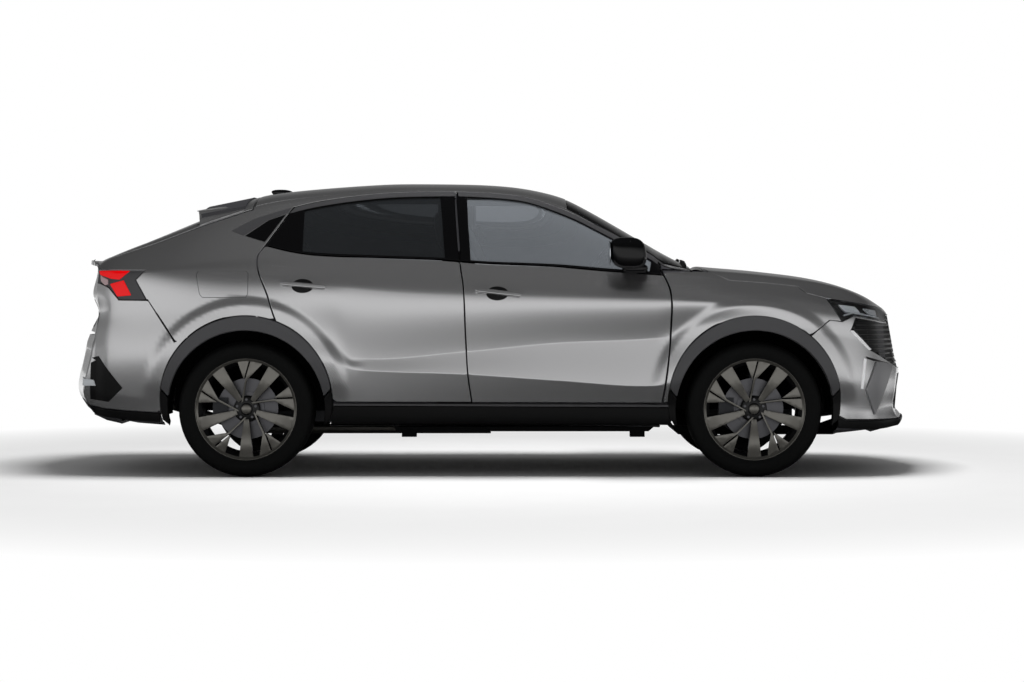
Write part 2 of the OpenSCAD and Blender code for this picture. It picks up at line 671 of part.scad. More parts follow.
module rear_bumper() {
    color(paint) pressed() difference() {
        intersection() {
            layer(0, skin_t);
            across(-big, big) bumper_rear_2d(-seam / 2);
        }
        across(-big, big) trim_2d(ra, seam);
        upward(up_z(bumper_top), sky) rect_2d(tail - 200, tail + 700, tailgate_half_w + shut_gap);
        for (right = [false, true]) other_side(right) across(300, big) tail_lamp_2d(seam);
        upward(0, 300) rect_2d(tail + 330, ra - 100, hw - 150);
    }
}
module tail_lamps() {
    color("#8c1016") pressed() for (right = [false, true]) other_side(right) intersection() {
        layer(0, 45);
        across(tailgate_half_w + shut_gap, big) tail_lamp_2d();
    }
}
gate_frame_w = 90;
module tailgate_window_2d(grow = 0) {
    half = tailgate_half_w - gate_frame_w;
    offset(delta = grow) polygon([[ra - 285, -half + 10], [tail + 215, -half - 10], [tail + 215, half + 10],
        [ra - 285, half - 10]]);
}
spoiler_back_x = ra - 372;
spoiler_half_w = tailgate_half_w - 24;
spoiler_slope = 0.2;
module tailgate() {
    color(paint) pressed() difference() {
        union() {
            intersection() {
                layer(0, tailgate_t);
                across(-tailgate_half_w, tailgate_half_w) drawn() polygon([[gate_front_x, 1700],
                    [tail - 100, 1700], [tail - 100, bumper_top + shut_gap],
                    [gate_front_x, bumper_top + shut_gap]]);
            }
            // spoiler: carries the roof line on past the top of the glass
            difference() {
                translate([gate_front_x - 40, 0, up_z(1545)])
                    multmatrix([[1, 0, 0, 0], [0, 1, 0, 0], [spoiler_slope, 0, 1, 0]])
                    along(spoiler_back_x - gate_front_x + 40, 0)
                    polygon(concat([for (i = [-6:6]) [i / 6 * spoiler_half_w, -70 * pow(i / 6, 2)]],
                        [[spoiler_half_w - 16, -190], [16 - spoiler_half_w, -190]]));
                skin_at(20);
                across(-big, big) drawn() polygon([[ra - 600, 1100], [ra - 600, 1449], [spoiler_back_x, 1451],
                    [ra - 278, 1425], [ra - 278, 1100]]);
            }
        }
        upward(waist_z, sky) tailgate_window_2d();
        for (side = [-1, 1]) {
            upward(waist_z, sky) translate([0, side * hinge_y])
                rect_2d(gate_hinge[0] - 32, gate_front_x + 20, 18);
            translate([gate_hinge[0], side * hinge_y - 32, gate_hinge[1]])
                cross_pin(64, hinge_pin_r + hinge_play);
        }
    }
}
module tailgate_glass() {
    color("#23262a", 0.6) pressed() intersection() {
        layer(6, 6 + glass_t);
        upward(waist_z, sky) tailgate_window_2d(-glass_room);
    }
}
module bonnet() {
    color(paint) pressed() difference() {
        union() {
            intersection() {
                layer(0, bonnet_t);
                across(-big, big) bonnet_2d();
            }
            intersection() {
                skin_at(3);
                for (side = [-1, 1])
                    translate([bonnet_hinge[0] - 11, side * lug_y - 20, bonnet_hinge[1] - 10])
                    cube([40, 40, 40]);
            }
        }
        for (side = [-1, 1]) translate([bonnet_hinge[0], side * lug_y - 30, bonnet_hinge[1]])
            cross_pin(60, hinge_pin_r + hinge_play);
    }
}
// Arch trims: bands proud of the skin round every wheel opening
trim_depth = 18;
module arch_trims() {
    color(satin) pressed() for (right = [false, true], x = [fa, ra]) other_side(right) intersection() {
        layer(-8, trim_depth);
        across(500, big) difference() {
            trim_2d(x);
            arch_2d(x);
            translate([x - 700, 0]) square([1400, 296]);
        }
    }
}
liner_t = 5;
module arch_liners() {
    color(dark) pressed() for (right = [false, true], x = [fa, ra]) other_side(right) {
        inner = x == fa ? 465 : wheel_y - tyre_w / 2 - 34;
        intersection() {
            skin_at(trim_depth + 0.3);
            difference() {
                across(inner, big) arch_2d(x, 4 + liner_t);
                across(inner + liner_t, big) arch_2d(x, 4);
                upward(0, 335) rect_2d(x - 700, x + 700, big);
                across(0, inner + 20) translate([x - 700, 0]) square([1400, 590]);
            }
        }
    }
}
sill_trim_t = 14;
module sill_2d(grow = 0) {
    difference() {
        offset(delta = grow) drawn() polygon([[ra + 380, 276], [ra + 380, door_low - 8],
            [fa - 380, door_low - 8], [fa - 380, 276]]);
        trim_2d(fa, seam - grow);
        trim_2d(ra, seam - grow);
    }
}
module sill_trims() {
    color(dark) pressed() for (right = [false, true]) other_side(right) intersection() {
        layer(-6, sill_trim_t);
        across(hw - 160, big) sill_2d();
    }
}
// Floor pan: toe board, floor, rear seat step and boot floor as one pressed tray, with four jacking pads
pan_t = 24;
pan_low = 236;
pan_half = hw - 232;
boot_half = wheel_y - tyre_w / 2 - 50;
module floor_pan() {
    color("#3a3c3f") {
        across(-pan_half, pan_half) polygon([[fa - 447, 1000], [fa - 447, 330], [fa - 560, pan_low],
            [ra + 800, pan_low], [ra + 740, 400], [ra + 460, 440], [ra + 460, 440 + pan_t],
            [ra + 757, 400 + pan_t], [ra + 817, pan_low + pan_t], [fa - 568, pan_low + pan_t],
            [fa - 447 - pan_t, 340], [fa - 447 - pan_t, 1000]]);
        across(-boot_half, boot_half) polygon([[ra + 460, 440], [ra + 340, 520], [tail + 260, 520],
            [tail + 260, 520 + pan_t], [ra + 332, 520 + pan_t], [ra + 460, 440 + pan_t]]);
        for (x = [fa - 620, ra + 870], side = [-1, 1])
            translate([x - 40, side * (pan_half - 45) - 35, pan_low - 31]) cube([80, 70, 32]);
    }
}
module undertray() {
    color(dark) across(-440, 440) polygon([[fa - 446.6, 350], [fa - 446.6, 300], [fa - 380, tray_top - 6],
        [fa + 480, tray_top - 6], [fa + 640, 262], [fa + 640, 268], [fa + 480, tray_top], [fa - 378, tray_top],
        [fa - 440, 302], [fa - 440, 350]]);
}
// Front suspension: fixed cross member, with an upper and a lower arm to each steering knuckle
tray_top = 211;
cross_top = 295;
king_y = wheel_y - 55;
arm_low = wheel_z - 150;
arm_high = wheel_z + 160;
pin_r = 12;
pin_play = 0.05;
module front_suspension() {
    color("#4a4c4e") {
        difference() {
            union() {
                translate([fa - 60, -420, tray_top + 0.3]) cube([120, 840, cross_top - tray_top - 0.3]);
                for (side = [-1, 1]) {
                    translate([fa - 45, side * 405 - 25, 225]) cube([90, 50, arm_high - 225 + 30]);
                    for (z = [arm_low, arm_high]) {
                        translate([fa - 24, side * (king_y + 380) / 2 - (king_y - 380) / 2, z])
                            cube([48, king_y - 380, 30]);
                        translate([fa, side * king_y, z]) cylinder(h = 30, r = 28);
                    }
                }
            }
            for (side = [-1, 1]) translate([fa, side * king_y, arm_low - 1])
                cylinder(h = arm_high - arm_low + 32, r = pin_r + pin_play);
        }
    }
}
spindle_r = 25;
module hub_axis(x, right) {
    translate([x, right ? -wheel_y : wheel_y, wheel_z]) rotate([right ? 90 : -90, 0, 0]) children();
}
// Brake caliper: a bridge over the rim of the disc, carried from the hub centre
module caliper() {
    difference() {
        translate([-disc_d / 2 - 22, -60, -40]) cube([82, 120, 68]);
        translate([-disc_d / 2 - 6, -61, -26]) cube([100, 122, 40]);
    }
    translate([-disc_d / 2 - 10, -40, -52]) cube([disc_d / 2, 80, 16]);
}
module knuckle(right) {
    side = right ? -1 : 1;
    color("#6b6d70") {
        translate([fa, side * king_y, arm_low - 4]) cylinder(h = arm_high - arm_low + 38, r = pin_r);
        translate([fa - 30, side * king_y - 22, arm_low + 36]) cube([60, 44, arm_high - arm_low - 42]);
        hub_axis(fa, right) {
            translate([0, 0, -45]) cylinder(h = 113, r = spindle_r);
            mirror([0, right ? 0 : 1, 0]) caliper();
        }
    }
}
module rear_axle() {
    color("#4a4c4e") {
        translate([ra, -wheel_y + 62, wheel_z - 30]) rotate([-90, 0, 0])
            cylinder(h = 2 * wheel_y - 124, r = 38);
        for (right = [false, true]) hub_axis(ra, right) {
            translate([0, 0, -62]) cylinder(h = 14, r = 90);
            translate([0, 0, -50]) cylinder(h = 118, r = spindle_r);
            mirror([0, right ? 0 : 1, 0]) caliper();
        }
        for (side = [-1, 1]) translate([ra, side * 560 - 30, 285]) cube([440, 60, 60]);
        translate([ra + 400, -590, 285]) cube([60, 1180, 440 - seam - 285]);
    }
}
// Road wheel, axis along its own Z with the outside upward
rim_r = rim_d / 2;
seat_r = rim_r - 22;
face_z = 92;
hub_r = 72;
function polar(r, a) = [r * cos(a), r * sin(a)];
// One group of spokes: a straight wedge, and a swept spoke split into two blades by a narrow slit
module spoke_group_2d() {
    r1 = seat_r - 12;
    polygon([polar(40, -20), polar(r1, -8.2), polar(r1, 8.2), polar(40, 20)]);
    polygon([polar(60, 72), polar(60, 40), polar(130, 31), polar(175, 24), polar(r1, 15.5), polar(r1, 30.4),
        polar(165, 32.5), polar(r1, 32), polar(r1, 44.5), polar(180, 42), polar(140, 44)]);
}
module rim(x, right) {
    color("#6f6d68") hub_axis(x, right) mirror([0, right ? 0 : 1, 0]) difference() {
        union() {
            rotate_extrude($fn = 96) polygon([[seat_r - 16, -tyre_w / 2 + 12], [seat_r, -tyre_w / 2 + 12],
                [seat_r, tyre_w / 2 - 15], [rim_r, tyre_w / 2 - 13], [rim_r, tyre_w / 2 - 6],
                [seat_r - 6, tyre_w / 2 - 6], [seat_r - 16, tyre_w / 2 - 40]]);
            translate([0, 0, face_z - 26]) linear_extrude(26) for (i = [0:spoke_groups - 1])
                rotate(-90 + i * 360 / spoke_groups) spoke_group_2d();
            translate([0, 0, -20]) cylinder(h = face_z + 26, r = hub_r);
            translate([0, 0, -20]) cylinder(h = 28, r = disc_d / 2);
        }
        translate([0, 0, -30]) cylinder(h = 102, r = spindle_r + pin_play);
    }
}
module tyre(x, right) {
    color("#101312") hub_axis(x, right) rotate_extrude($fn = 96) polygon([
        [seat_r + 0.3, -tyre_w / 2 + 17], [rim_r + 3, -tyre_w / 2 + 15], [rim_r + 30, -tyre_w / 2 + 2],
        [wheel_z - 48, -tyre_w / 2], [wheel_z - 20, -tyre_w / 2 + 9], [wheel_z - 6, -tyre_w / 2 + 28],
        [wheel_z, -tyre_w / 2 + 60], [wheel_z, tyre_w / 2 - 60], [wheel_z - 6, tyre_w / 2 - 28],
        [wheel_z - 20, tyre_w / 2 - 9], [wheel_z - 48, tyre_w / 2], [rim_r + 30, tyre_w / 2 - 2],
        [rim_r + 3, tyre_w / 2 - 13.3], [seat_r + 0.3, tyre_w / 2 - 15.3]]);
}
// Exhaust: a pipe under the floor pan that bends up behind the axle into a crosswise silencer
pipe_r = 28;
pipe_rise = 17;
pipe_bend = [ra - 90, 120, pan_low - pipe_r - seam];
module exhaust() {
    color("#7d7f82") {
        translate([ra - 760, -420, 304]) cube([200, 840, 110]);
        translate(pipe_bend) rotate([0, 90, 0]) cylinder(h = 1400, r = pipe_r, $fn = 20);
        translate(pipe_bend) sphere(pipe_r, $fn = 20);
        translate(pipe_bend) rotate([0, pipe_rise - 90, 0]) cylinder(h = 520, r = pipe_r, $fn = 20);
    }
}
module engine_block() {
    color("#55585b") translate([fa - 250, -300, cross_top + 0.3]) cube([520, 600, 540]);
}

// Cabin fittings
module dashboard_2d(grow = 0) {
    drawn() polygon([[fa - 770 - grow, 730], [fa - 745 - grow, 965], [fa - 660, 1015],
        [fa - 447 - pan_t - seam, 1040], [fa - 447 - pan_t - seam, 780], [fa - 620, 700]]);
}
module dashboard() {
    color(dark) across(-pan_half, pan_half) dashboard_2d();
}
wheel_at = [fa - 850, 370, up_z(930)];
module steering_wheel() {
    color(dark) {
        translate(wheel_at) rotate([0, -62, 0]) {
            rotate_extrude($fn = 64) translate([steering_wheel_d / 2 - 16, 0]) circle(15, $fn = 24);
            translate([-steering_wheel_d / 2 + 14, -22, -10]) cube([steering_wheel_d - 28, 44, 16]);
            translate([0, 0, -24]) cylinder(h = 34, r = 62);
        }
        difference() {
            translate(wheel_at) rotate([0, -62, 0]) translate([0, 0, -180]) cylinder(h = 170, r = 26);
            across(0, 700) dashboard_2d(0.3);
        }
    }
}
seat_z = pan_low + pan_t;
module seat_solid(w) {
    translate([0, w / 2, 0]) rotate([90, 0, 0]) linear_extrude(w)
        polygon([[0, seam], [480, seam], [520, seat_h], [470, seat_h + 40], [90, seat_h + 10],
            [-130, seat_h + 620], [-230, seat_h + 610], [-60, seat_h - 60]]);
    translate([-175, 120, seat_h + 560]) rotate([90, 0, 0]) linear_extrude(240)
        polygon([[0, 0], [30, 60], [20, 230], [-60, 240], [-80, 50]]);
}
module front_seats() {
    color(dark) for (side = [-1, 1]) translate([fa - 1480, side * 370, seat_z]) seat_solid(seat_w);
}
module rear_bench() {
    color(dark) across(-600, 600) polygon([[ra + 460, 440 + pan_t + 0.4], [ra + 757, 400 + pan_t + 0.4],
        [ra + 830, 420 + pan_t], [ra + 850, 580], [ra + 450, 560], [ra + 250, 1120], [ra + 150, 1110],
        [ra + 338, 545]]);
}
module centre_console() {
    color(dark) across(-90, 90) polygon([[fa - 1480, seat_z + 0.4], [fa - 690, seat_z + 0.4], [fa - 690, 660],
        [fa - 900, 620], [fa - 1480, 600]]);
}

// Handles: bars on two posts, proud of the door skin
module handle(rear, right) {
    x0 = rear ? ra + 190 : fa - 1505;
    z0 = rear ? 1040 : 1002;
    bar = [[x0, z0 - 12], [x0 + 246, z0 - 37], [x0 + 246, z0 - 13], [x0, z0 + 12]];
    y0 = hw + (rear ? 8 : 4);
    color(paint) other_side(right) pressed() difference() {
        across(hw - 70, y0 + 10) drawn() polygon(bar);
        skin_at(-seam);
        across(hw - 80, y0 - 4) drawn()
            polygon([[x0 + 44, 900], [x0 + 202, 900], [x0 + 202, 1100], [x0 + 44, 1100]]);
    }
}
// Door mirror: a rounded housing on an arm from the foot of the window
mirror_out = hw + 106;
mirror_z = up_z(1170);
module mirror_housing(right) {
    color(dark) other_side(right) pressed() difference() {
        union() {
            hull() {
                for (z = [0, 85], y = [hw + 20, mirror_out - 45])
                    translate([fa - 735, y, mirror_z + z]) sphere(40, $fn = 12);
                translate([fa - 640, hw + 20, mirror_z + 10]) sphere(30, $fn = 8);
                translate([fa - 640, mirror_out - 70, mirror_z + 20]) sphere(30, $fn = 8);
            }
            hull() {
                translate([fa - 700, hw - 110, mirror_z - 52]) sphere(16, $fn = 8);
                translate([fa - 610, hw - 110, mirror_z - 52]) sphere(16, $fn = 8);
                translate([fa - 690, hw + 20, mirror_z - 20]) sphere(20, $fn = 8);
            }
        }
        skin_at(-seam);
    }
}

floor_pan();
side_frame(false);  // side_frame_left
side_frame(true);  // side_frame_right
roof_panel();
windscreen();
cowl();
wipers();
fender(false);  // fender_left
fender(true);  // fender_right
front_bumper();
grille();
headlamps();
daytime_lamps();
rear_bumper();
tail_lamps();
arch_trims();
arch_liners();
sill_trims();
undertray();
front_suspension();
rear_axle();
exhaust();
engine_block();
dashboard();
steering_wheel();
front_seats();
rear_bench();
centre_console();
hinges();
bonnet();
tailgate();
tailgate_glass();
door(false, false);  // door_front_left
door(false, true);  // door_front_right
door(true, false);  // door_rear_left
door(true, true);  // door_rear_right
door_glass(false, false);  // glass_front_left
door_glass(false, true);  // glass_front_right
door_glass(true, false);  // glass_rear_left
door_glass(true, true);  // glass_rear_right
handle(false, false);  // handle_front_left
handle(false, true);  // handle_front_right
handle(true, false);  // handle_rear_left
handle(true, true);  // handle_rear_right
mirror_housing(false);  // mirror_left
mirror_housing(true);  // mirror_right
knuckle(false);  // knuckle_left
knuckle(true);  // knuckle_right
rim(fa, false);  // rim_front_left
rim(fa, true);  // rim_front_right
rim(ra, false);  // rim_rear_left
rim(ra, true);  // rim_rear_right
tyre(fa, false);  // tyre_front_left
tyre(fa, true);  // tyre_front_right
tyre(ra, false);  // tyre_rear_left
tyre(ra, true);  // tyre_rear_right
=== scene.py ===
"""Coupe sport utility vehicle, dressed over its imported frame: metres, +X to the nose, +Y left, +Z up."""
from math import cos, pi, radians, sin

import bpy
import numpy as np
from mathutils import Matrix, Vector, geometry


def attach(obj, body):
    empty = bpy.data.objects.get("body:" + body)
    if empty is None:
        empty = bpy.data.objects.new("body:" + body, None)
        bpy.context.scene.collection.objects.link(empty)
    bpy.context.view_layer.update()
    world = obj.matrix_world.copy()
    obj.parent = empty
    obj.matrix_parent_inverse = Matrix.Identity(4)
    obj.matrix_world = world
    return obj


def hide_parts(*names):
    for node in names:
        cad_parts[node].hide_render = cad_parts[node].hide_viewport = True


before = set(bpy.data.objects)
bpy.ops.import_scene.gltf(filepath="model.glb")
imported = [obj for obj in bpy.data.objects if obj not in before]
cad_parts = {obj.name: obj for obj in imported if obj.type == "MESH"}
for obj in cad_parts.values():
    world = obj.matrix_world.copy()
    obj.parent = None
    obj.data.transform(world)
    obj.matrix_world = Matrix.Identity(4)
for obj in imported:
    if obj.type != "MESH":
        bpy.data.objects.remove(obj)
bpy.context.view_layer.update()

# Body shell: pressed and welded steel sheet under metallic paint. Its outer skin runs through eight guide
# lines from tail to nose, each a row of (x, half width, height) in millimetres, with the crown on top.
# Sheets are cut from that one skin along the shut lines, with a rolled edge and a folded flange.
nose, tail, fa, ra, hw, wheel_z = 2355.0, -2355.0, 1432.0, -1306.0, 933.0, 365.0
crown = [(tail + 65, 0, 1180), (tail + 140, 0, 1176), (ra - 276, 0, 1432), (ra - 39, 0, 1526),
         (ra + 117, 0, 1562), (ra + 668, 0, 1608), (fa - 1762, 0, 1613), (fa - 1375, 0, 1602),
         (fa - 1132, 0, 1566), (fa - 952, 0, 1505), (fa - 327, 0, 1153), (fa - 246, 0, 1143),
         (fa + 77, 0, 1115), (fa + 399, 0, 1070), (nose - 255, 0, 990), (nose - 73, 0, 907),
         (nose - 20, 0, 870)]
cant = [(tail + 65, hw - 303, 1135), (ra - 594, hw - 323, 1240), (ra - 194, hw - 333, 1388),
        (ra + 94, hw - 318, 1463), (ra + 356, hw - 300, 1493), (ra + 706, hw - 286, 1515),
        (fa - 1719, hw - 283, 1522), (fa - 1249, hw - 283, 1494), (fa - 1065, hw - 278, 1437),
        (fa - 759, hw - 248, 1283), (fa - 543, hw - 208, 1168), (fa - 472, hw - 191, 1112),
        (fa - 282, hw - 188, 1108), (fa + 77, hw - 233, 1080), (fa + 399, hw - 273, 1035),
        (nose - 255, hw - 373, 960), (nose - 20, hw - 553, 860)]
belt = [(tail + 65, hw - 243, 1110), (tail + 255, hw - 143, 1120), (ra - 544, hw - 93, 1130),
        (ra, hw - 113, 1180), (ra + 406, hw - 107, 1195), (fa - 1680, hw - 101, 1178),
        (fa - 1062, hw - 101, 1143), (fa - 505, hw - 111, 1100), (fa - 282, hw - 121, 1082),
        (fa - 130, hw - 128, 1058), (fa + 244, hw - 153, 1022), (fa + 399, hw - 188, 985),
        (nose - 255, hw - 293, 930), (nose - 20, hw - 523, 845)]
shoulder = [(tail + 65, hw - 233, 1070), (tail + 255, hw - 133, 1090), (ra - 544, hw - 53, 1100),
            (ra, hw - 28, 1085), (ra + 406, hw - 20, 1030), (fa - 1832, hw - 15, 985),
            (fa - 1062, hw - 13, 965), (fa, hw - 8, 950), (fa + 318, hw - 43, 925),
            (fa + 518, hw - 103, 895), (nose - 205, hw - 233, 855), (nose - 20, hw - 493, 795)]
waist = [(tail + 65, hw - 233, 900), (tail + 255, hw - 113, 890), (ra - 444, hw - 28, 880),
         (ra, hw - 2, 850), (ra + 456, hw - 28, 750), (ra + 579, hw - 37, 640), (fa - 1558, hw - 40, 674),
         (fa - 1096, hw - 42, 720), (fa - 488, hw - 40, 753), (fa - 332, hw - 28, 800), (fa, hw - 2, 850),
         (fa + 318, hw - 18, 780), (fa + 518, hw - 73, 740), (nose - 205, hw - 193, 700),
         (nose - 20, hw - 453, 660)]
bulge = [(tail + 65, hw - 213, 640), (tail + 255, hw - 98, 640), (ra - 444, hw - 18, 640), (ra, hw, 640),
         (ra + 456, hw - 18, 610), (ra + 579, hw - 29, 580), (fa - 1542, hw - 25, 554),
         (fa - 1064, hw - 21, 520), (fa - 526, hw - 17, 491), (fa - 332, hw - 13, 560), (fa, hw, 640),
         (fa + 318, hw - 8, 580), (fa + 518, hw - 53, 540), (nose - 205, hw - 153, 520),
         (nose - 20, hw - 393, 490)]
sill_top = [(tail + 65, hw - 233, 480), (tail + 255, hw - 123, 430), (ra - 444, hw - 53, 400),
            (ra, hw - 33, 400), (ra + 473, hw - 53, 400), (fa - 1432, hw - 61, 395),
            (fa - 496, hw - 57, 392), (fa, hw - 28, 400), (fa + 318, hw - 33, 400), (fa + 518, hw - 68, 390),
            (nose - 205, hw - 153, 370), (nose - 20, hw - 373, 355)]
sill_low = [(tail + 65, hw - 293, 340), (tail + 255, hw - 193, 300), (ra - 444, hw - 93, 285),
            (ra + 472, hw - 88, 288), (fa - 1063, hw - 88, 290), (fa - 507, hw - 83, 280), (fa, hw - 63, 270),
            (fa + 406, hw - 53, 250), (fa + 518, hw - 83, 250), (nose - 205, hw - 163, 255),
            (nose - 20, hw - 373, 288)]
nose_profile = [(250, -4), (290, 20), (360, -28), (460, -10), (564, 3), (645, -21), (757, -45), (822, -66),
                (907, -53)]
tail_profile = [(330, 3), (420, 58), (482, 65), (660, 25), (713, 16), (795, -17), (878, -58), (987, -21),
                (1134, -49), (1180, -3)]
nose_s, tail_s, end_blend = nose - 20, tail + 65, 430.0
nose_face, tail_face = 560.0, 720.0
# plan bow: how steeply each end runs back, where that begins, how soon it builds up, how round the middle is
tail_bow, tail_bow_x, nose_bow, nose_bow_x, bow_reach, bow_round = 0.22, -1860.0, 0.18, 1905.0, 430.0, 60.0
girth = np.array([0, 95, 205, 335, 495, 745, 945, 1345, 1475, 1755, 2025.0])
top_v = girth[-1]


def curve(knots, at, column=1):
    """Smooth line through knots, read at these places."""
    k = np.asarray(knots, float)
    x, y = k[:, 0], k[:, column]
    slope = np.empty(len(x))
    slope[1:-1] = (y[2:] - y[:-2]) / (x[2:] - x[:-2])
    slope[0] = (y[1] - y[0]) / (x[1] - x[0])
    slope[-1] = (y[-1] - y[-2]) / (x[-1] - x[-2])
    at = np.asarray(at, float)
    i = np.clip(np.searchsorted(x, at, side="right") - 1, 0, len(x) - 2)
    h = x[i + 1] - x[i]
    t = np.clip((at - x[i]) / h, 0, 1)
    return (y[i] * (1 + 2 * t) * (1 - t) ** 2 + slope[i] * h * t * (1 - t) ** 2
            + y[i + 1] * t * t * (3 - 2 * t) + slope[i + 1] * h * t * t * (t - 1))


def fade(a, b, at):
    """Smooth step from 0 at a to 1 at b."""
    t = np.clip((np.asarray(at, float) - a) / (b - a), 0, 1)
    return t * t * (3 - 2 * t)


def bow(x, y):
    """How far the plan bow of the nose and the tail draws a point back."""
    spread = np.sqrt(y * y + bow_round ** 2) - bow_round
    behind = np.clip((tail_bow_x - x) / bow_reach, 0, 1)
    ahead = np.clip((x - nose_bow_x) / bow_reach, 0, 1)
    return (tail_bow * behind ** 2 - nose_bow * ahead ** 2) * spread


def skin_points(sv):
    """Points of the left half of the outer skin at (station, girth)."""
    run, v = sv[:, 0], np.clip(sv[:, 1], 0, top_v)
    s = np.clip(run, tail_s, nose_s)
    g = np.empty((len(s), 11, 2))
    for i, line in enumerate((sill_low, sill_top, bulge, waist, shoulder, belt, cant)):
        g[:, i + 1, 0] = curve(line, s, 1)
        g[:, i + 1, 1] = curve(line, s, 2)
    g[:, 0] = g[:, 1] - (90, 25)
    top = curve(crown, s, 2)
    for i, share, up in ((8, 0.83, 0.45), (9, 0.45, 0.86), (10, 0.0, 1.0)):
        g[:, i, 0] = share * g[:, 7, 0]
        g[:, i, 1] = g[:, 7, 1] + up * (top - g[:, 7, 1])
    chord = g[:, 1:] - g[:, :-1]
    length = np.linalg.norm(chord, axis=2)[:, :, None]
    straight = chord / length
    smooth = np.empty_like(g)
    smooth[:, 0], smooth[:, 10] = straight[:, 0], (-1, 0)
    smooth[:, 1:10] = (g[:, 2:] - g[:, :-2]) / (length[:, 1:] + length[:, :-1])
    # the pressed creases of the doors sharpen between the wheels and fade out towards the arches
    sharp = np.zeros((len(s), 11, 1))
    sharp[:, 3, 0] = sharp[:, 4, 0] = 0.92 * fade(-760, -640, s) * (1 - fade(880, 1010, s))
    sharp[:, 2, 0] = 0.7
    sharp[:, 6, 0] = 0.35
    j = np.clip(np.searchsorted(girth, v, side="right") - 1, 0, 9)
    n = np.arange(len(s))
    t = ((v - girth[j]) / (girth[j + 1] - girth[j]))[:, None]
    h = length[n, j]
    m0 = smooth[n, j] * (1 - sharp[n, j]) + straight[n, j] * sharp[n, j]
    m1 = smooth[n, j + 1] * (1 - sharp[n, j + 1]) + straight[n, j] * sharp[n, j + 1]
    yz = (g[n, j] * (1 + 2 * t) * (1 - t) ** 2 + m0 * h * t * (1 - t) ** 2
          + g[n, j + 1] * t * t * (3 - 2 * t) + m1 * h * t * t * (t - 1))
    y, z = yz[:, 0], yz[:, 1]
    ramp = np.where(s > nose_s - end_blend, ((s - nose_s + end_blend) / end_blend) ** 2,
                    np.where(s < tail_s + end_blend, ((tail_s + end_blend - s) / end_blend) ** 2, 0))
    x = s + ramp * np.where(s > 0, curve(nose_profile, z), -curve(tail_profile, z))
    # soft raised band round each wheel arch
    for axle in (fa, ra):
        r = np.hypot(x - axle, z - wheel_z - 40)
        y = y + 11 * (1 - fade(515, 575, r)) * fade(500, 760, y) * fade(395, 520, z)
    # nose and tail faces close the skin, and both ends are bowed in plan
    u = np.clip((run - nose_s) / nose_face, 0, 1)
    w = np.clip((tail_s - run) / tail_face, 0, 1)
    y = y * (1 - u) * (1 - w)
    return np.stack([x + 4 * u - 4 * w + bow(x, y), y, z], axis=1)


def skin(sv, depth=0.0):
    """Points and outward normals of the skin, at a depth below it."""
    e = 1.5
    along = skin_points(sv + (e, 0)) - skin_points(sv - (e, 0))
    up = skin_points(sv + (0, e)) - skin_points(sv - (0, e))
    normal = np.cross(up, along)
    p = skin_points(sv)
    normal[:, 1] = np.where(np.abs(p[:, 1]) < 0.5, 0, normal[:, 1])
    normal /= np.linalg.norm(normal, axis=1)[:, None] + 1e-12
    return p - normal * depth, normal


def settle(guess, target, axes):
    """Skin coordinates whose point has the target's two coordinates, by Newton steps from a guess."""
    sv = np.array(guess, float)
    for _ in range(14):
        p = skin_points(sv)[:, axes]
        a = skin_points(sv + (1, 0))[:, axes] - p
        b = skin_points(sv + (0, 1))[:, axes] - p
        miss = target - p
        det = a[:, 0] * b[:, 1] - a[:, 1] * b[:, 0]
        det = np.where(np.abs(det) < 1e-3, 1e-3, det)
        ds = (miss[:, 0] * b[:, 1] - miss[:, 1] * b[:, 0]) / det
        dv = (a[:, 0] * miss[:, 1] - a[:, 1] * miss[:, 0]) / det
        sv += np.clip(np.stack([ds, dv], axis=1), -45, 45)
        sv[:, 0] = np.clip(sv[:, 0], tail_s - tail_face, nose_s + nose_face)
        sv[:, 1] = np.clip(sv[:, 1], 0, top_v)
    return sv


def densify(loop, step, closed=True):
    """The same line with points at most a step apart."""
    loop = np.asarray(loop, float)
    ends = np.roll(loop, -1, axis=0) if closed else loop[1:]
    out = []
    for a, b in zip(loop, ends):
        n = max(1, int(np.ceil(np.linalg.norm(b - a) / step)))
        out += [a + (b - a) * k / n for k in range(n)]
    if not closed:
        out.append(loop[-1])
    return np.array(out)


def from_side(points, step=14, closed=True):
    """Skin coordinates of a line drawn in side view as (x, z)."""
    p = densify(points, step, closed)
    v = np.linspace(0, top_v, 120)
    s = np.clip(p[:, 0], tail_s, nose_s)
    grid = np.stack(np.broadcast_arrays(s[:, None], v[None, :]), axis=2).reshape(-1, 2)
    z = skin_points(grid)[:, 2].reshape(len(p), -1)
    best = v[np.argmin(np.abs(z - p[:, 1:2]), axis=1)]
    return settle(np.stack([s, best], axis=1), p, [0, 2])


def from_top(points, step=14, closed=True):
    """Skin coordinates of a line drawn in plan as (x, y), on the upper half of the skin."""
    p = densify(points, step, closed)
    v = np.linspace(1000, top_v, 100)
    s = np.clip(p[:, 0], tail_s, nose_s)
    grid = np.stack(np.broadcast_arrays(s[:, None], v[None, :]), axis=2).reshape(-1, 2)
    y = skin_points(grid)[:, 1].reshape(len(p), -1)
    best = v[np.argmin(np.abs(y - p[:, 1:2]), axis=1)]
    sv = settle(np.stack([s, best], axis=1), p, [0, 1])
    sv[p[:, 1] <= 0, 1] = top_v
    return sv


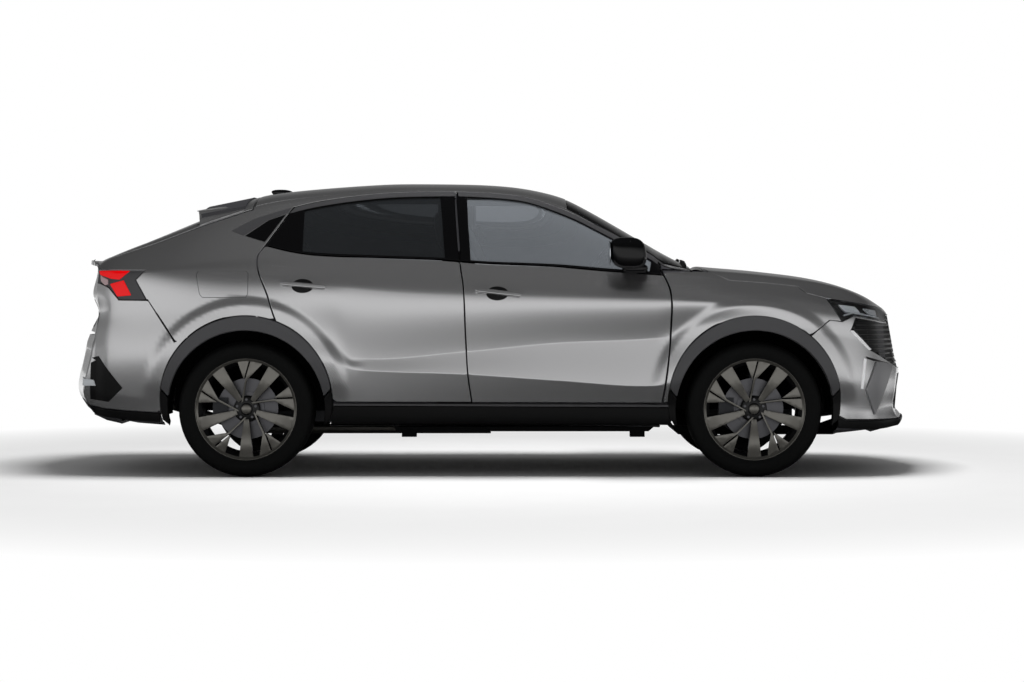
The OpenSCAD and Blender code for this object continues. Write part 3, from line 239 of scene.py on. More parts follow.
def from_end(points, end_s, step=14, closed=True):
    """Skin coordinates of a line drawn on the nose or tail face, as (y, z) seen from ahead or behind."""
    p = densify(points, step, closed)
    v = np.linspace(60, top_v, 160)
    edge = skin_points(np.stack([np.full(len(v), end_s), v], axis=1))
    best = v[np.argmin(np.abs(edge[None, :, 2] - p[:, 1:2]), axis=1)]
    half = np.interp(best, v, edge[:, 1])
    span = nose_face if end_s > 0 else -tail_face
    share = 1 - p[:, 0] / np.maximum(half, 1)
    s = np.where(share >= 0, end_s + span * share, end_s + 0.6 * np.sign(span) * half * share)
    return settle(np.stack([s, best], axis=1), p, [1, 2])


def area(loop):
    """Signed area of a closed loop."""
    nxt = np.roll(loop, -1, axis=0)
    return 0.5 * np.sum(loop[:, 0] * nxt[:, 1] - loop[:, 1] * nxt[:, 0])


def shrink(loop, by, fixed=None):
    """The loop moved inward by a distance, except along edges whose two ends are fixed."""
    fixed = np.zeros(len(loop), bool) if fixed is None else fixed
    back, ahead = loop - np.roll(loop, 1, axis=0), np.roll(loop, -1, axis=0) - loop
    d0 = np.where(fixed & np.roll(fixed, 1), 0.0, by)
    d1 = np.where(fixed & np.roll(fixed, -1), 0.0, by)
    n0 = np.stack([-back[:, 1], back[:, 0]], axis=1) / (np.linalg.norm(back, axis=1)[:, None] + 1e-9)
    n1 = np.stack([-ahead[:, 1], ahead[:, 0]], axis=1) / (np.linalg.norm(ahead, axis=1)[:, None] + 1e-9)
    det = n0[:, 0] * n1[:, 1] - n0[:, 1] * n1[:, 0]
    safe = np.where(np.abs(det) < 0.2, 1, det)
    x = (d0 * n1[:, 1] - d1 * n0[:, 1]) / safe
    y = (n0[:, 0] * d1 - n1[:, 0] * d0) / safe
    along_both = (n0 * d0[:, None] + n1 * d1[:, None]) / 2
    move = np.where(np.abs(det)[:, None] < 0.2, along_both, np.stack([x, y], 1))
    size = np.linalg.norm(move, axis=1)[:, None]
    return loop + move * np.minimum(1, 2.2 * abs(by) / np.maximum(size, 1e-9))


def inside(points, loop):
    """Which points lie inside the loop."""
    x, y = points[:, 0:1], points[:, 1:2]
    a, b = loop, np.roll(loop, -1, axis=0)
    cross = (a[:, 1] > y) != (b[:, 1] > y)
    at = (b[:, 0] - a[:, 0]) * (y - a[:, 1]) / (b[:, 1] - a[:, 1] + 1e-12) + a[:, 0]
    return np.sum(cross & (x < at), axis=1) % 2 == 1


def sheet(surface, outline, holes=(), step=24.0, rows=(), edge=3.0, flange=14.0, gap=0.0, depth=0.0,
          half=False):
    """Sheet cut from a surface: points, normals and faces, with rolled edges and folded flanges."""
    loops = []
    for k, loop in enumerate((outline, *holes)):
        loop = np.asarray(loop, float)
        loop = loop if (area(loop) > 0) == (k == 0) else loop[::-1]
        fixed = np.abs(surface(loop)[0][:, 1]) < 0.5 if half else np.zeros(len(loop), bool)
        loops.append(shrink(loop, gap + edge, fixed) if gap + edge else loop)
    rim = np.concatenate(loops)
    low, high = loops[0].min(axis=0), loops[0].max(axis=0)
    levels = np.array([v for v in np.arange(low[1] + step / 2, high[1], step)
                       if all(abs(v - r) > step * 0.4 for r in rows)]
                      + [r for r in rows if low[1] < r < high[1]])
    cols = np.arange(low[0] + step / 2, high[0], step)
    grid = np.stack(np.meshgrid(cols, levels), axis=2).reshape(-1, 2)
    keep = inside(grid, loops[0])
    for hole in loops[1:]:
        keep &= ~inside(grid, hole)
    grid = grid[keep]
    near = np.array([np.min(np.sum((rim - g) ** 2, axis=1)) for g in grid]) if len(grid) else np.zeros(0)
    grid = grid[near > (0.5 * step) ** 2]
    flat = np.concatenate([rim, grid])
    edges, start = [], 0
    for loop in loops:
        edges += [(start + i, start + (i + 1) % len(loop)) for i in range(len(loop))]
        start += len(loop)
    made = geometry.delaunay_2d_cdt([Vector(p) for p in flat], edges, [], 0, 1e-6)
    flat = np.array([(p[0], p[1]) for p in made[0]])
    place = {}
    for i, olds in enumerate(made[3]):
        for old in olds:
            place[old] = i
    tri = np.array([f for f in made[2] if len(f) == 3])
    mid = flat[tri].mean(axis=1)
    keep = inside(mid, loops[0])
    for hole in loops[1:]:
        keep &= ~inside(mid, hole)
    faces = [(int(a), int(c), int(b)) for a, b, c in tri[keep]]
    points, normals = surface(flat, depth)
    points, normals = list(points), list(normals)
    start = 0
    for loop in loops:
        ids = [place[start + i] for i in range(len(loop))]
        start += len(loop)
        p0, n0 = np.array([points[i] for i in ids]), np.array([normals[i] for i in ids])
        on_centre = (np.abs(p0[:, 1]) < 0.5) if half else np.zeros(len(ids), bool)
        way = np.roll(p0, -1, axis=0) - np.roll(p0, 1, axis=0)
        out = np.cross(n0, way)
        out[on_centre, 1] = 0
        out /= np.linalg.norm(out, axis=1)[:, None] + 1e-12
        rings = [ids]
        for turn in (30, 60, 90):
            a = radians(turn)
            at = p0 + out * edge * sin(a) - n0 * edge * (1 - cos(a))
            rings.append(list(range(len(points), len(points) + len(ids))))
            points += list(at)
            normals += list(n0 * cos(a) + out * sin(a))
        rings.append(list(range(len(points), len(points) + len(ids))))
        points += list(p0 + out * edge - n0 * (edge + flange))
        normals += list(out)
        for r0, r1 in zip(rings, rings[1:]):
            for i in range(len(ids)):
                k = (i + 1) % len(ids)
                if not (on_centre[i] and on_centre[k]):
                    faces.append((r0[i], r0[k], r1[k], r1[i]))
    return np.array(points), np.array(normals), faces


def mirrored(part):
    """The same part on the car's right side."""
    points, normals, faces = part
    flip = np.array([1, -1, 1])
    return points * flip, None if normals is None else normals * flip, [tuple(reversed(f)) for f in faces]


both_sides = (("left", lambda part: part), ("right", mirrored))


def across(part):
    """A half part and its mirror image as one, sharing the points of the centre line."""
    points, normals, faces = part
    centre = np.abs(points[:, 1]) < 0.05
    points = points.copy()
    points[centre, 1] = 0
    new = np.where(centre, np.arange(len(points)), len(points) + np.cumsum(~centre) - 1)
    flip = np.array([1, -1, 1])
    other = [tuple(int(new[i]) for i in reversed(f)) for f in faces]
    return (np.concatenate([points, points[~centre] * flip]),
            np.concatenate([normals, normals[~centre] * flip]), list(faces) + other)


def piece(name, body, material, *parts, stands_for=(), slot=None, sharp=35):
    """One object from parts in millimetres, riding a body. A part may carry its own material."""
    points, normals, faces, which, skins = [], [], [], [], []
    start = 0
    for part in parts:
        own = part[3] if len(part) > 3 else material
        if own not in skins:
            skins.append(own)
        p = np.asarray(part[0], float)
        points.append(p)
        normals.append(part[1])
        faces += [tuple(int(i) + start for i in f) for f in part[2]]
        which += [skins.index(own)] * len(part[2])
        start += len(p)
    mesh = bpy.data.meshes.new(name)
    mesh.from_pydata((np.concatenate(points) * 0.001).tolist(), [], faces)
    for own in skins:
        mesh.materials.append(own)
    mesh.polygons.foreach_set("material_index", which)
    mesh.polygons.foreach_set("use_smooth", [True] * len(faces))
    if all(n is not None for n in normals):
        mesh.normals_split_custom_set_from_vertices(np.concatenate(normals).tolist())
    else:
        mesh.set_sharp_from_angle(angle=radians(sharp))
    obj = bpy.data.objects.new(name, mesh)
    bpy.context.scene.collection.objects.link(obj)
    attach(obj, body)
    if stands_for:
        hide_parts(*stands_for)
    return obj


def colour(code):
    """Linear colour of an sRGB hex code."""
    c = [int(code[i:i + 2], 16) / 255 for i in (1, 3, 5)]
    return tuple(x / 12.92 if x < 0.04045 else ((x + 0.055) / 1.055) ** 2.4 for x in c) + (1.0,)


def add(tree, kind, sockets=None, **settings):
    """A shader node with its settings, plain values and links."""
    made = tree.nodes.new(kind)
    for key, value in settings.items():
        setattr(made, key, value)
    for key, value in (sockets or {}).items():
        if isinstance(value, bpy.types.NodeSocket):
            tree.links.new(value, made.inputs[key])
        else:
            made.inputs[key].default_value = value
    return made


def finish_of(name, size_mm, dark, light, bump_mm=0.0, stretch=(1, 1, 1), **plain):
    """Surface finish: a fine grain of two tones, raised by the bump, and the shader's plain values."""
    made = bpy.data.materials.new(name)
    made.use_nodes = True
    tree = made.node_tree
    shader = tree.nodes["Principled BSDF"]
    for key, value in plain.items():
        shader.inputs[key.replace("_", " ")].default_value = value
    where = add(tree, "ShaderNodeTexCoord")
    laid = add(tree, "ShaderNodeMapping", {"Vector": where.outputs["Object"], "Scale": stretch})
    grain = add(tree, "ShaderNodeTexNoise",
                {"Vector": laid.outputs[0], "Scale": 1000 / size_mm, "Detail": 3.0})
    tone = add(tree, "ShaderNodeMix", {0: grain.outputs[0], 6: colour(dark), 7: colour(light)},
               data_type="RGBA")
    tree.links.new(tone.outputs[2], shader.inputs["Base Color"])
    if bump_mm:
        raised = add(tree, "ShaderNodeBump", {"Height": grain.outputs[0], "Distance": bump_mm * 0.001})
        tree.links.new(raised.outputs[0], shader.inputs["Normal"])
    return made


# Graphite metallic paint: aluminium flake under a hard clear coat, which gives a broad sheen and a sharp
# gloss. The flake is far finer than a pixel, so its grain is drawn at 2 mm to show at all.
paint = finish_of("graphite metallic paint", 2.0, "#bfbfc0", "#c8c8c9", Metallic=0.92, Roughness=0.26,
                  Coat_Weight=0.5, Coat_Roughness=0.04)
# Thin inner paint: primer and overspray inside the shell, which give a dull dark grey
inner_paint = finish_of("thin inner paint", 3.0, "#3c3c3e", "#46464a", Metallic=0.4, Roughness=0.5)


def dress(name, material):
    """CAD solid that shows as it is, with its finish."""
    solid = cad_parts[name]
    solid.data.materials.clear()
    solid.data.materials.append(material)


def tuck(name, material, by=8):
    """CAD solid kept as the inner structure, drawn in a few millimetres under its outer sheet."""
    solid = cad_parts[name]
    weld = solid.modifiers.new("weld", "WELD")
    weld.merge_threshold = 0.0001
    drawn_in = solid.modifiers.new("drawn in", "DISPLACE")
    drawn_in.strength = -by * 0.001
    drawn_in.mid_level = 0.0
    dress(name, material)


def bend(*names):
    """CAD solids at the two ends follow the plan bow of the skin, by a modifier."""
    group = bpy.data.node_groups.get("plan bow")
    if not group:
        group = bpy.data.node_groups.new("plan bow", "GeometryNodeTree")
        group.interface.new_socket("Geometry", in_out="INPUT", socket_type="NodeSocketGeometry")
        group.interface.new_socket("Geometry", in_out="OUTPUT", socket_type="NodeSocketGeometry")

        def calc(kind, a, b=0.0, clamp=False):
            return add(group, "ShaderNodeMath", {0: a, 1: b}, operation=kind, use_clamp=clamp).outputs[0]

        def rise(steepness, far, near):
            share = calc("DIVIDE", calc("SUBTRACT", far, near), bow_reach * 0.001, True)
            return calc("MULTIPLY", calc("MULTIPLY", share, share), steepness)

        place = add(group, "GeometryNodeInputPosition")
        at = add(group, "ShaderNodeSeparateXYZ", {0: place.outputs[0]})
        x, y = at.outputs["X"], at.outputs["Y"]
        rounded = calc("SQRT", calc("ADD", calc("MULTIPLY", y, y), (bow_round * 0.001) ** 2))
        spread = calc("SUBTRACT", rounded, bow_round * 0.001)
        share = calc("SUBTRACT", rise(tail_bow, tail_bow_x * 0.001, x), rise(nose_bow, x, nose_bow_x * 0.001))
        move = add(group, "ShaderNodeCombineXYZ", {"X": calc("MULTIPLY", share, spread)})
        start = add(group, "NodeGroupInput")
        moved = add(group, "GeometryNodeSetPosition",
                    {"Geometry": start.outputs[0], "Offset": move.outputs[0]})
        add(group, "NodeGroupOutput", {0: moved.outputs[0]})
    for name in names:
        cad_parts[name].modifiers.new("plan bow", "NODES").node_group = group


# Shut lines: the gaps between doors, wings and body sides, and the edges of the side windows, all drawn in
# side view. The sheets on both sides of a line are cut a little short of it.
front_edge = [(380, fa - 498), (621, fa - 466), (801, fa - 451), (1000, fa - 454), (1120, fa - 500)]
pillar_edge = [(380, fa - 1519), (541, fa - 1542), (746, fa - 1555), (1021, fa - 1567), (1142, fa - 1585),
               (1560, fa - 1619)]
rear_edge = [(700, ra + 230), (854, ra + 159), (986, ra + 116), (1115, ra + 65), (1192, ra + 56),
             (1258, ra + 99), (1424, ra + 211), (1500, ra + 262)]
window_top = [(ra + 94, 1388), (ra + 355, 1458), (ra + 705, 1506), (fa - 1719, 1518), (fa - 1511, 1515),
              (fa - 1249, 1492), (fa - 1065, 1435), (fa - 912, 1369), (fa - 543, 1167), (fa - 475, 1113)]
window_low = [(ra + 90, 1262), (ra + 230, 1228), (ra + 367, 1208), (ra + 713, 1193), (fa - 1680, 1180),
              (fa - 1457, 1162), (fa - 1062, 1145), (fa - 794, 1122), (fa - 505, 1101), (fa - 400, 1090)]
door_low, shut, frame_w, trim_r = 395.0, 3.25, 30.0, 463.0


def upright(edge, z0, z1, n=24, dx=0.0):
    """Points up or down a shut line."""
    z = np.linspace(z0, z1, n)
    return list(zip(curve(edge, z) + dx, z))


def level(edge, x0, x1, n=30, dz=0.0):
    """Points along a window edge."""
    x = np.linspace(x0, x1, n)
    return list(zip(x, curve(edge, x) + dz))


def arch(axle, a0, a1, n=40, r=trim_r):
    """Points round a wheel arch, in degrees from straight ahead."""
    a = np.radians(np.linspace(a0, a1, n))
    return list(zip(axle + r * np.cos(a), wheel_z + 40 + r * np.sin(a)))


# Body sides: rear quarter, roof rail and screen pillar, one deep steel pressing on each side of the shell,
# spot-welded to the inner structure. That is the CAD solid, drawn in a little under the sheet.
tail_lamp_edge = [(ra - 542, 1117), (ra - 596, 1062), (ra - 536, 954)]
side_outline = np.concatenate([
    from_top([(fa - 325, hw - 233), (fa - 1002, hw - 356), (ra + 10, hw - 356)], closed=False),
    from_top([(ra + 10, 606), (-2140, 606)], closed=False),
    from_side([(-2128, 1118)] + tail_lamp_edge + [(ra - 530, 954), (ra - 378, 732)], closed=False),
    from_side(arch(ra, 140, 72)[1:-1], closed=False),
    from_side(upright(rear_edge, 850, 1470, dx=-1), closed=False),
    from_side(level(window_top, ra + 235, fa - 480, 40, frame_w + 2), closed=False)])
side_sheet = sheet(skin, side_outline, gap=2.5, flange=34, step=14, rows=(745, 945, 1345))
for side, make in both_sides:
    tuck(f"side_frame_{side}", inner_paint)
    bend(f"side_frame_{side}")
    piece(f"body_side_sheet_{side}", "body", paint, make(side_sheet), slot="body_paint")

# Roof: one shallow steel pressing laid between the two rails and brazed to them, from the screen header
# to the tailgate.
roof_edge = from_top([(fa - 1002, 0), (fa - 1002, hw - 358), (ra + 19, hw - 358), (ra + 19, 0)])
roof_sheet = across(sheet(skin, roof_edge, gap=1.5, half=True, step=28))
tuck("roof_panel", inner_paint)
piece("roof_sheet", "body", paint, roof_sheet, slot="body_paint")

# Front wings: thin steel pressings bolted on between the door, the bonnet and the bumper. Their flange is
# narrow, to leave room for the front door.
wing_outline = np.concatenate([
    from_side(upright(front_edge, 396, 1098, dx=3), closed=False),
    from_side([(960, 1104), (fa - 228, 1108), (fa - 130, 1060), (fa + 76, 1046), (fa + 244, 1028),
               (fa + 290, 990), (fa + 396, 962), (fa + 474, 838), (fa + 405, 845), (fa + 308, 769)],
              closed=False),
    from_side(arch(fa, 51, 180), closed=False)])
wing_sheet = sheet(skin, wing_outline, gap=2.5, flange=6, step=14, rows=(745, 945))
for side, make in both_sides:
    tuck(f"fender_{side}", inner_paint)
    piece(f"wing_sheet_{side}", "body", paint, make(wing_sheet), slot="body_paint")

# Bonnet: one clamshell pressing, folded over an inner frame and hinged at its rear edge under
# the screen.
bonnet_side = [(fa - 258, 1124), (fa - 228, 1108), (fa - 130, 1062), (fa + 76, 1048), (fa + 244, 1030),
               (fa + 290, 992), (fa + 396, 966), (fa + 729, 918)]
bonnet_outline = np.concatenate([
    from_top([(fa - 262, 0), (fa - 262, 690)], closed=False),
    from_side(bonnet_side, closed=False),
    from_end([(470, 890), (0, 890)], nose_s, closed=False)])
bonnet_sheet = across(sheet(skin, bonnet_outline, gap=2.5, half=True, step=26, rows=(1345,)))
tuck("bonnet", inner_paint)
bend("bonnet")
piece("bonnet_sheet", "bonnet_lid", paint, bonnet_sheet, slot="body_paint")

# Doors: folded steel skins below the belt, gloss black window frames above it, and a moulded trim panel
# clipped on inside. The skin, its inner ledge and the trim stand for the CAD door.
# Gloss black moulding: polished ABS, which gives black with a clear, narrow reflection
gloss_black = finish_of("gloss black moulding", 3.0, "#040405", "#070708", Roughness=0.12,
                        Specular_IOR_Level=0.28)
# Satin grey moulding: plastic under metallic paint and a flat lacquer, which gives a soft grey sheen
satin_trim = finish_of("satin grey moulding", 2.5, "#4a4a4c", "#565658", 0.02, Metallic=0.5, Roughness=0.45)
# Cabin plastic: moulded polypropylene with a leather grain, which gives a dull dark grey
cabin_plastic = finish_of("moulded cabin plastic", 0.9, "#161617", "#1f1f20", 0.05, Roughness=0.6)
front_skin = np.concatenate([
    from_side([(curve(pillar_edge, 398.0), 398), (curve(front_edge, 398.0), 398)], closed=False)[:-1],
    from_side(upright(front_edge, 398, 1086), closed=False),
    from_side(level(window_low, 940, -165, 40, -12), closed=False),
    from_side(upright(pillar_edge, 1150, 400), closed=False)])
rear_skin = np.concatenate([
    from_side([(ra + 466, 412), (ra + 486, 399), (curve(pillar_edge, 399.0), 399)], closed=False)[:-1],
    from_side(upright(pillar_edge, 399, 1156), closed=False),
    from_side(level(window_low, -168, ra + 108, 34, -12), closed=False),
    from_side(upright(rear_edge, 1244, 846), closed=False),
    from_side(arch(ra, 70, 2), closed=False)])
front_frame = np.concatenate([
    from_side(level(window_low, -158, 936, 40, -8), closed=False),
    from_side([(932, 1104), (932, 1158)], closed=False),
    from_side(level(window_top, 926, -176, 40, frame_w - 1), closed=False),
    from_side(upright(pillar_edge, 1535, 1160, dx=4), closed=False)])
front_window = np.concatenate([
    from_side(level(window_low, -95, 868, 34, 5), closed=False),
    from_side(level(window_top, 884, -118, 40, 0), closed=False)])
rear_frame = np.concatenate([
    from_side(level(window_low, ra + 104, -164, 34, -8), closed=False),
    from_side(upright(pillar_edge, 1168, 1535, dx=-4), closed=False),
    from_side(level(window_top, -190, ra + 250, 40, frame_w - 1), closed=False),
    from_side(upright(rear_edge, 1462, 1252, dx=6), closed=False)])
rear_window = np.concatenate([
    from_side(level(window_low, ra + 300, -238, 34, 5), closed=False),
    from_side(level(window_top, -268, ra + 300, 40, 0), closed=False)])
front_rail = np.concatenate([
    from_side(level(window_top, -168, 920, 40, 3), closed=False),
    from_side(level(window_top, 926, -172, 40, frame_w - 2), closed=False)])
rear_rail = np.concatenate([
    from_side(level(window_top, ra + 215, -186, 40, 3), closed=False),
    from_side(level(window_top, -186, ra + 245, 40, frame_w - 2), closed=False)])
creases = (331, 339, 491, 499, 745, 945)
# Door glass: tempered panes, almost clear in front and dark tinted behind, which let the cabin show
# through a sharp reflection
clear_glass = finish_of("clear door glass", 40.0, "#a2a8af", "#aab0b7", Roughness=0.0, IOR=1.45,
                        Transmission_Weight=0.7)
dark_glass = finish_of("dark tinted glass", 40.0, "#4a4e52", "#54585c", Roughness=0.0, IOR=1.45,
                       Transmission_Weight=0.85)
for place, skin_line, frame_line, window, rail, glass, glass_slot in (
        ("front", front_skin, front_frame, front_window, front_rail, clear_glass, "clear_glass"),
        ("rear", rear_skin, rear_frame, rear_window, rear_rail, dark_glass, "privacy_glass")):
    outer = sheet(skin, skin_line, gap=shut, flange=16, step=15, rows=creases)
    upper = sheet(skin, frame_line, [window], gap=2.5, edge=2, flange=16, step=24, depth=1)
    strip = sheet(skin, rail, edge=2, flange=4, step=24, depth=-1.5)
    pane = sheet(skin, shrink(window, -9), edge=1, flange=3, step=30, depth=9)
    trim = sheet(skin, shrink(skin_line, 58), edge=0.5, flange=-74, step=40, depth=100)
    ledge = sheet(skin, skin_line, gap=6, edge=0.5, flange=0.5, step=30, depth=27)
    for side, make in both_sides:
        body = f"{place}_door_{side}"
        piece(f"door_sheet_{place}_{side}", body, paint, make(outer), make(ledge) + (inner_paint,),
              stands_for=(f"door_{place}_{side}",), slot="body_paint")
        piece(f"door_trim_{place}_{side}", body, cabin_plastic, make(trim), slot="cabin_plastic")
        piece(f"window_frame_{place}_{side}", body, gloss_black, make(upper), slot="gloss_black")
        piece(f"window_strip_{place}_{side}", body, satin_trim, make(strip), slot="satin_trim")
        piece(f"window_pane_{place}_{side}", body, glass, make(pane),
              stands_for=(f"glass_{place}_{side}",), slot=glass_slot)

# Screen: laminated glass bonded into the shell, with a printed black border that hides the glue and
# keeps the sun off it.
screen_line = from_top([(fa - 1000, 0), (fa - 1000, hw - 360), (fa - 327, hw - 237), (fa - 327, 0)])
screen_pane = across(sheet(skin, screen_line, gap=2, edge=1.5, flange=3, depth=2, half=True, step=32))
border = across(sheet(skin, np.concatenate([
    from_top([(fa - 1000, 0), (fa - 1000, hw - 360), (fa - 327, hw - 237), (fa - 327, 0)], closed=False),
    from_top([(fa - 405, 0), (fa - 405, hw - 300), (fa - 935, hw - 405), (fa - 935, 0)], closed=False)]),
    edge=0.5, flange=1, depth=7, half=True, step=32))
# Laminated glass: two clear sheets with a film between them, which give a faint tint
screen_glass = finish_of("laminated screen glass", 60.0, "#b4bcbe", "#bcc4c6", Roughness=0.0, IOR=1.45,
                         Transmission_Weight=1.0)
piece("screen_pane", "body", screen_glass, screen_pane, stands_for=("windscreen",), slot="clear_glass")
piece("screen_border", "body", gloss_black, border, slot="gloss_black")

# Front bumper: one injection-moulded cover in body colour, clipped to the wings and open for the dark
# grille.
lamp_low = [(fa + 405, 846), (fa + 474, 837), (fa + 545, 868), (fa + 731, 836)]
grille_line = np.concatenate([
    from_side([(fa + 536, 812), (fa + 525, 786), (fa + 636, 686), (fa + 783, 610)], closed=False),
    from_end([(430, 580), (0, 572)], nose_s, closed=False),
    from_end([(0, 872), (430, 868), (452, 824)], nose_s, closed=False),
    from_side([(fa + 725, 828), (fa + 553, 857)], closed=False)])
intake_line = from_end([(0, 540), (410, 545), (372, 345), (0, 335)], nose_s, closed=False)
bumper_line = np.concatenate([
    from_side([(fa + 300, 764)] + lamp_low, closed=False),
    from_end([(452, 834), (446, 884), (0, 886)], nose_s, closed=False),
    from_end([(0, 886), (0, 300), (372, 300)], nose_s, closed=False),
    from_side([(2240, 302), (2100, 304), (1930, 306), (1880, 330)], closed=False),
    from_side(arch(fa, -8, 50), closed=False)])
bumper_sheet = across(sheet(skin, bumper_line, [grille_line], gap=2, flange=16, half=True, step=20))
tuck("front_bumper", inner_paint, 9)
bend("front_bumper")
piece("front_bumper_cover", "body", paint, bumper_sheet, slot="body_paint")

# Rear bumper: an injection-moulded cover in body colour, wrapped round the tail and clipped on below the
# lamps and the tailgate.
tail_low = [(ra - 524, 950), (ra - 536, 952), (ra - 692, 954), (ra - 752, 1020), (-2120, 1046)]
rear_cover_line = np.concatenate([
    from_side(arch(ra, 130, 186), closed=False),
    from_side([(-1790, 345), (-1950, 352), (-2100, 362), (-2180, 374)], closed=False),
    from_end([(560, 400), (0, 400), (0, 764), (606, 764), (608, 1044)], tail_s, closed=False),
    from_side(tail_low[::-1] + [(ra - 380, 732)], closed=False)])
rear_cover = across(sheet(skin, rear_cover_line, gap=2, flange=16, half=True, step=20))
tuck("rear_bumper", inner_paint, 9)
bend("rear_bumper")
piece("rear_bumper_cover", "body", paint, rear_cover, slot="body_paint")

# Tailgate: steel lid from the roof edge to the bumper, hinged at the top, with a bonded window and a lip
# over the lamps. Two notches in its front edge clear the hinges.
gate_back = [(-2284 + float(bow(-2290.0, y)), float(y)) for y in np.linspace(598, 0, 14)]
gate_lower = from_end([(0, 1150), (598, 1118), (598, 770), (0, 770)], tail_s)
gate_front = [(-1592, 0), (ra + 8, 0), (ra + 8, 122), (-1338, 122), (-1338, 158), (ra + 8, 158),
              (ra + 8, 598)]
gate_window = [(-2138, 0), (-2118, 470), (-1592, 520)]
upper_sheet = across(sheet(skin, from_top(gate_front + gate_back + gate_window), gap=2, flange=20, half=True,
                           step=26))
lower_sheet = across(sheet(skin, gate_lower, gap=2, flange=20, half=True, step=24))
rear_pane = across(sheet(skin, from_top([(-1580, 0), (-1580, 530), (-2126, 480), (-2146, 0)]), edge=1,
                         flange=3, depth=5, half=True, step=32))
tuck("tailgate", inner_paint)
bend("tailgate")
piece("tailgate_sheet", "tailgate_lid", paint, upper_sheet, lower_sheet, slot="body_paint")
piece("tailgate_pane", "tailgate_lid", dark_glass, rear_pane, stands_for=("tailgate_glass",),
      slot="privacy_glass")

# Arch trims: satin grey mouldings clipped round the wheel openings, with black ends where the road
# throws dirt.
# Grained black plastic: polypropylene moulded with a fine grain, which gives a matt black
soft_black = finish_of("grained black plastic", 1.2, "#070708", "#0d0d0e", 0.08, Roughness=0.5,
                       Specular_IOR_Level=0.25)


def arch_band(axle, a0, a1, outer=trim_r, inner=423.0):
    """Outline of a band round a wheel opening."""
    a = np.radians(np.linspace(a0, a1, 60))
    rim = list(zip(axle + outer * np.cos(a), wheel_z + 40 + outer * np.sin(a)))
    hole = list(zip(axle + inner * np.cos(a[::-1]), wheel_z + inner * np.sin(a[::-1])))
    return from_side(rim + hole)


for axle, place in ((fa, "front"), (ra, "rear")):
    band = sheet(skin, arch_band(axle, 9, 171), edge=5, flange=26, step=16, depth=-7)
    ends = [sheet(skin, arch_band(axle, a0, a1), edge=4, flange=26, step=16, depth=-6)
            for a0, a1 in ((-12, 8.4), (171.6, 192))]
    for side, make in both_sides:
        piece(f"arch_trim_{place}_{side}", "body", satin_trim, make(band),
              *[make(e) + (soft_black,) for e in ends],
              stands_for=("arch_trims",) if (place, side) == ("front", "left") else (), slot="satin_trim")

# Sill trims: long black mouldings clipped on under the doors, with a satin strip along the top, which
# keep stones off the painted sill.
sill_line = from_side([(ra + 452, 284), (fa - 452, 278), (fa - 458, 374), (ra + 470, 382)])
strip_line = from_side([(ra + 470, 384), (fa - 460, 376), (fa - 460, 389), (ra + 470, 396)])
sill_band = sheet(skin, sill_line, edge=5, flange=20, step=22, depth=-2)
sill_strip = sheet(skin, strip_line, edge=2, flange=8, step=22, depth=-3)
for side, make in both_sides:
    piece(f"sill_trim_{side}", "body", soft_black, make(sill_band), make(sill_strip) + (satin_trim,),
          stands_for=("sill_trims",) if side == "left" else (), slot="black_trim")

# Lower mouldings: the black lip under the nose and the black valance under the tail, in grained plastic
# that is left unpainted because it scrapes.
lip_line = np.concatenate([
    from_end([(0, 298), (372, 298)], nose_s, closed=False),
    from_side([(2240, 299), (2100, 301), (1930, 303), (1880, 326), (1884, 262), (2100, 253), (2280, 262)],
              closed=False),
    from_end([(372, 268), (0, 266)], nose_s, closed=False)])
valance_line = np.concatenate([
    from_side([(-1770, 342), (-1778, 292), (-1950, 300), (-2100, 316), (-2176, 334)], closed=False),
    from_end([(560, 345), (0, 345), (0, 398), (560, 398)], tail_s, closed=False),
    from_side([(-2180, 371), (-2100, 359), (-1950, 349)], closed=False)])
lip = across(sheet(skin, lip_line, edge=5, flange=20, step=20, depth=-6, half=True))
valance = across(sheet(skin, valance_line, edge=4, flange=20, step=20, depth=0, half=True))
piece("front_lip", "body", soft_black, lip, slot="black_trim")
piece("rear_valance", "body", soft_black, valance, slot="black_trim")

# Wheels: cast alloy, each with five groups of twin blades swept from the hub. The faces are machined and
# lacquered, the pockets painted black. A vented iron disc sits behind.
# Machined alloy: turned bright and lacquered, which gives a warm grey metal face with fine marks
machined = finish_of("machined and lacquered alloy", 1.6, "#6a6863", "#7a7872", 0.01, (1, 6, 1),
                     Metallic=0.85, Roughness=0.3, Coat_Weight=0.4)
# Wheel paint: baked black enamel in the pockets, which sets off the bright faces. On the barrel the
# same black also stands for the shade deep inside the rim, so there it is partly painted shade
black_paint_and_barrel_shade = finish_of("black wheel paint and barrel shade", 2.0, "#060607", "#0b0b0c", Roughness=0.4)
# Turned cast iron: brake discs and bolts, which give a grey metal shine
iron = finish_of("turned cast iron", 1.5, "#57575a", "#77777a", 0.02, Metallic=1.0, Roughness=0.38)
# Tyre rubber: moulded, with carbon black, which gives a black with hardly any gloss
rubber = finish_of("tyre rubber", 3.0, "#060707", "#0b0c0c", 0.12, Roughness=0.7, Specular_IOR_Level=0.18)


def wheel_face(at, depth=0.0):
    """Dished front of the wheel at (x, z) from its centre: points and outward normals, hub to the left."""
    r = np.hypot(at[:, 0], at[:, 1])
    y = 74 + 20 * fade(40, 190, r) - 4 * fade(200, 270, r)
    slope = (20 * 6 * np.clip((r - 40) / 150, 0, 1) * (1 - np.clip((r - 40) / 150, 0, 1)) / 150)
    lean = -slope / (r + 1e-9)
    normal = np.stack([lean * at[:, 0], np.ones(len(r)), lean * at[:, 1]], axis=1)
    normal /= np.linalg.norm(normal, axis=1)[:, None]
    p = np.stack([at[:, 0], y, at[:, 1]], axis=1) - normal * depth
    return p, normal


def polar(pairs, turn):
    """Points from (radius, degrees), turned by an angle."""
    return densify([(r * cos(radians(a + turn)), r * sin(radians(a + turn))) for r, a in pairs], 9)


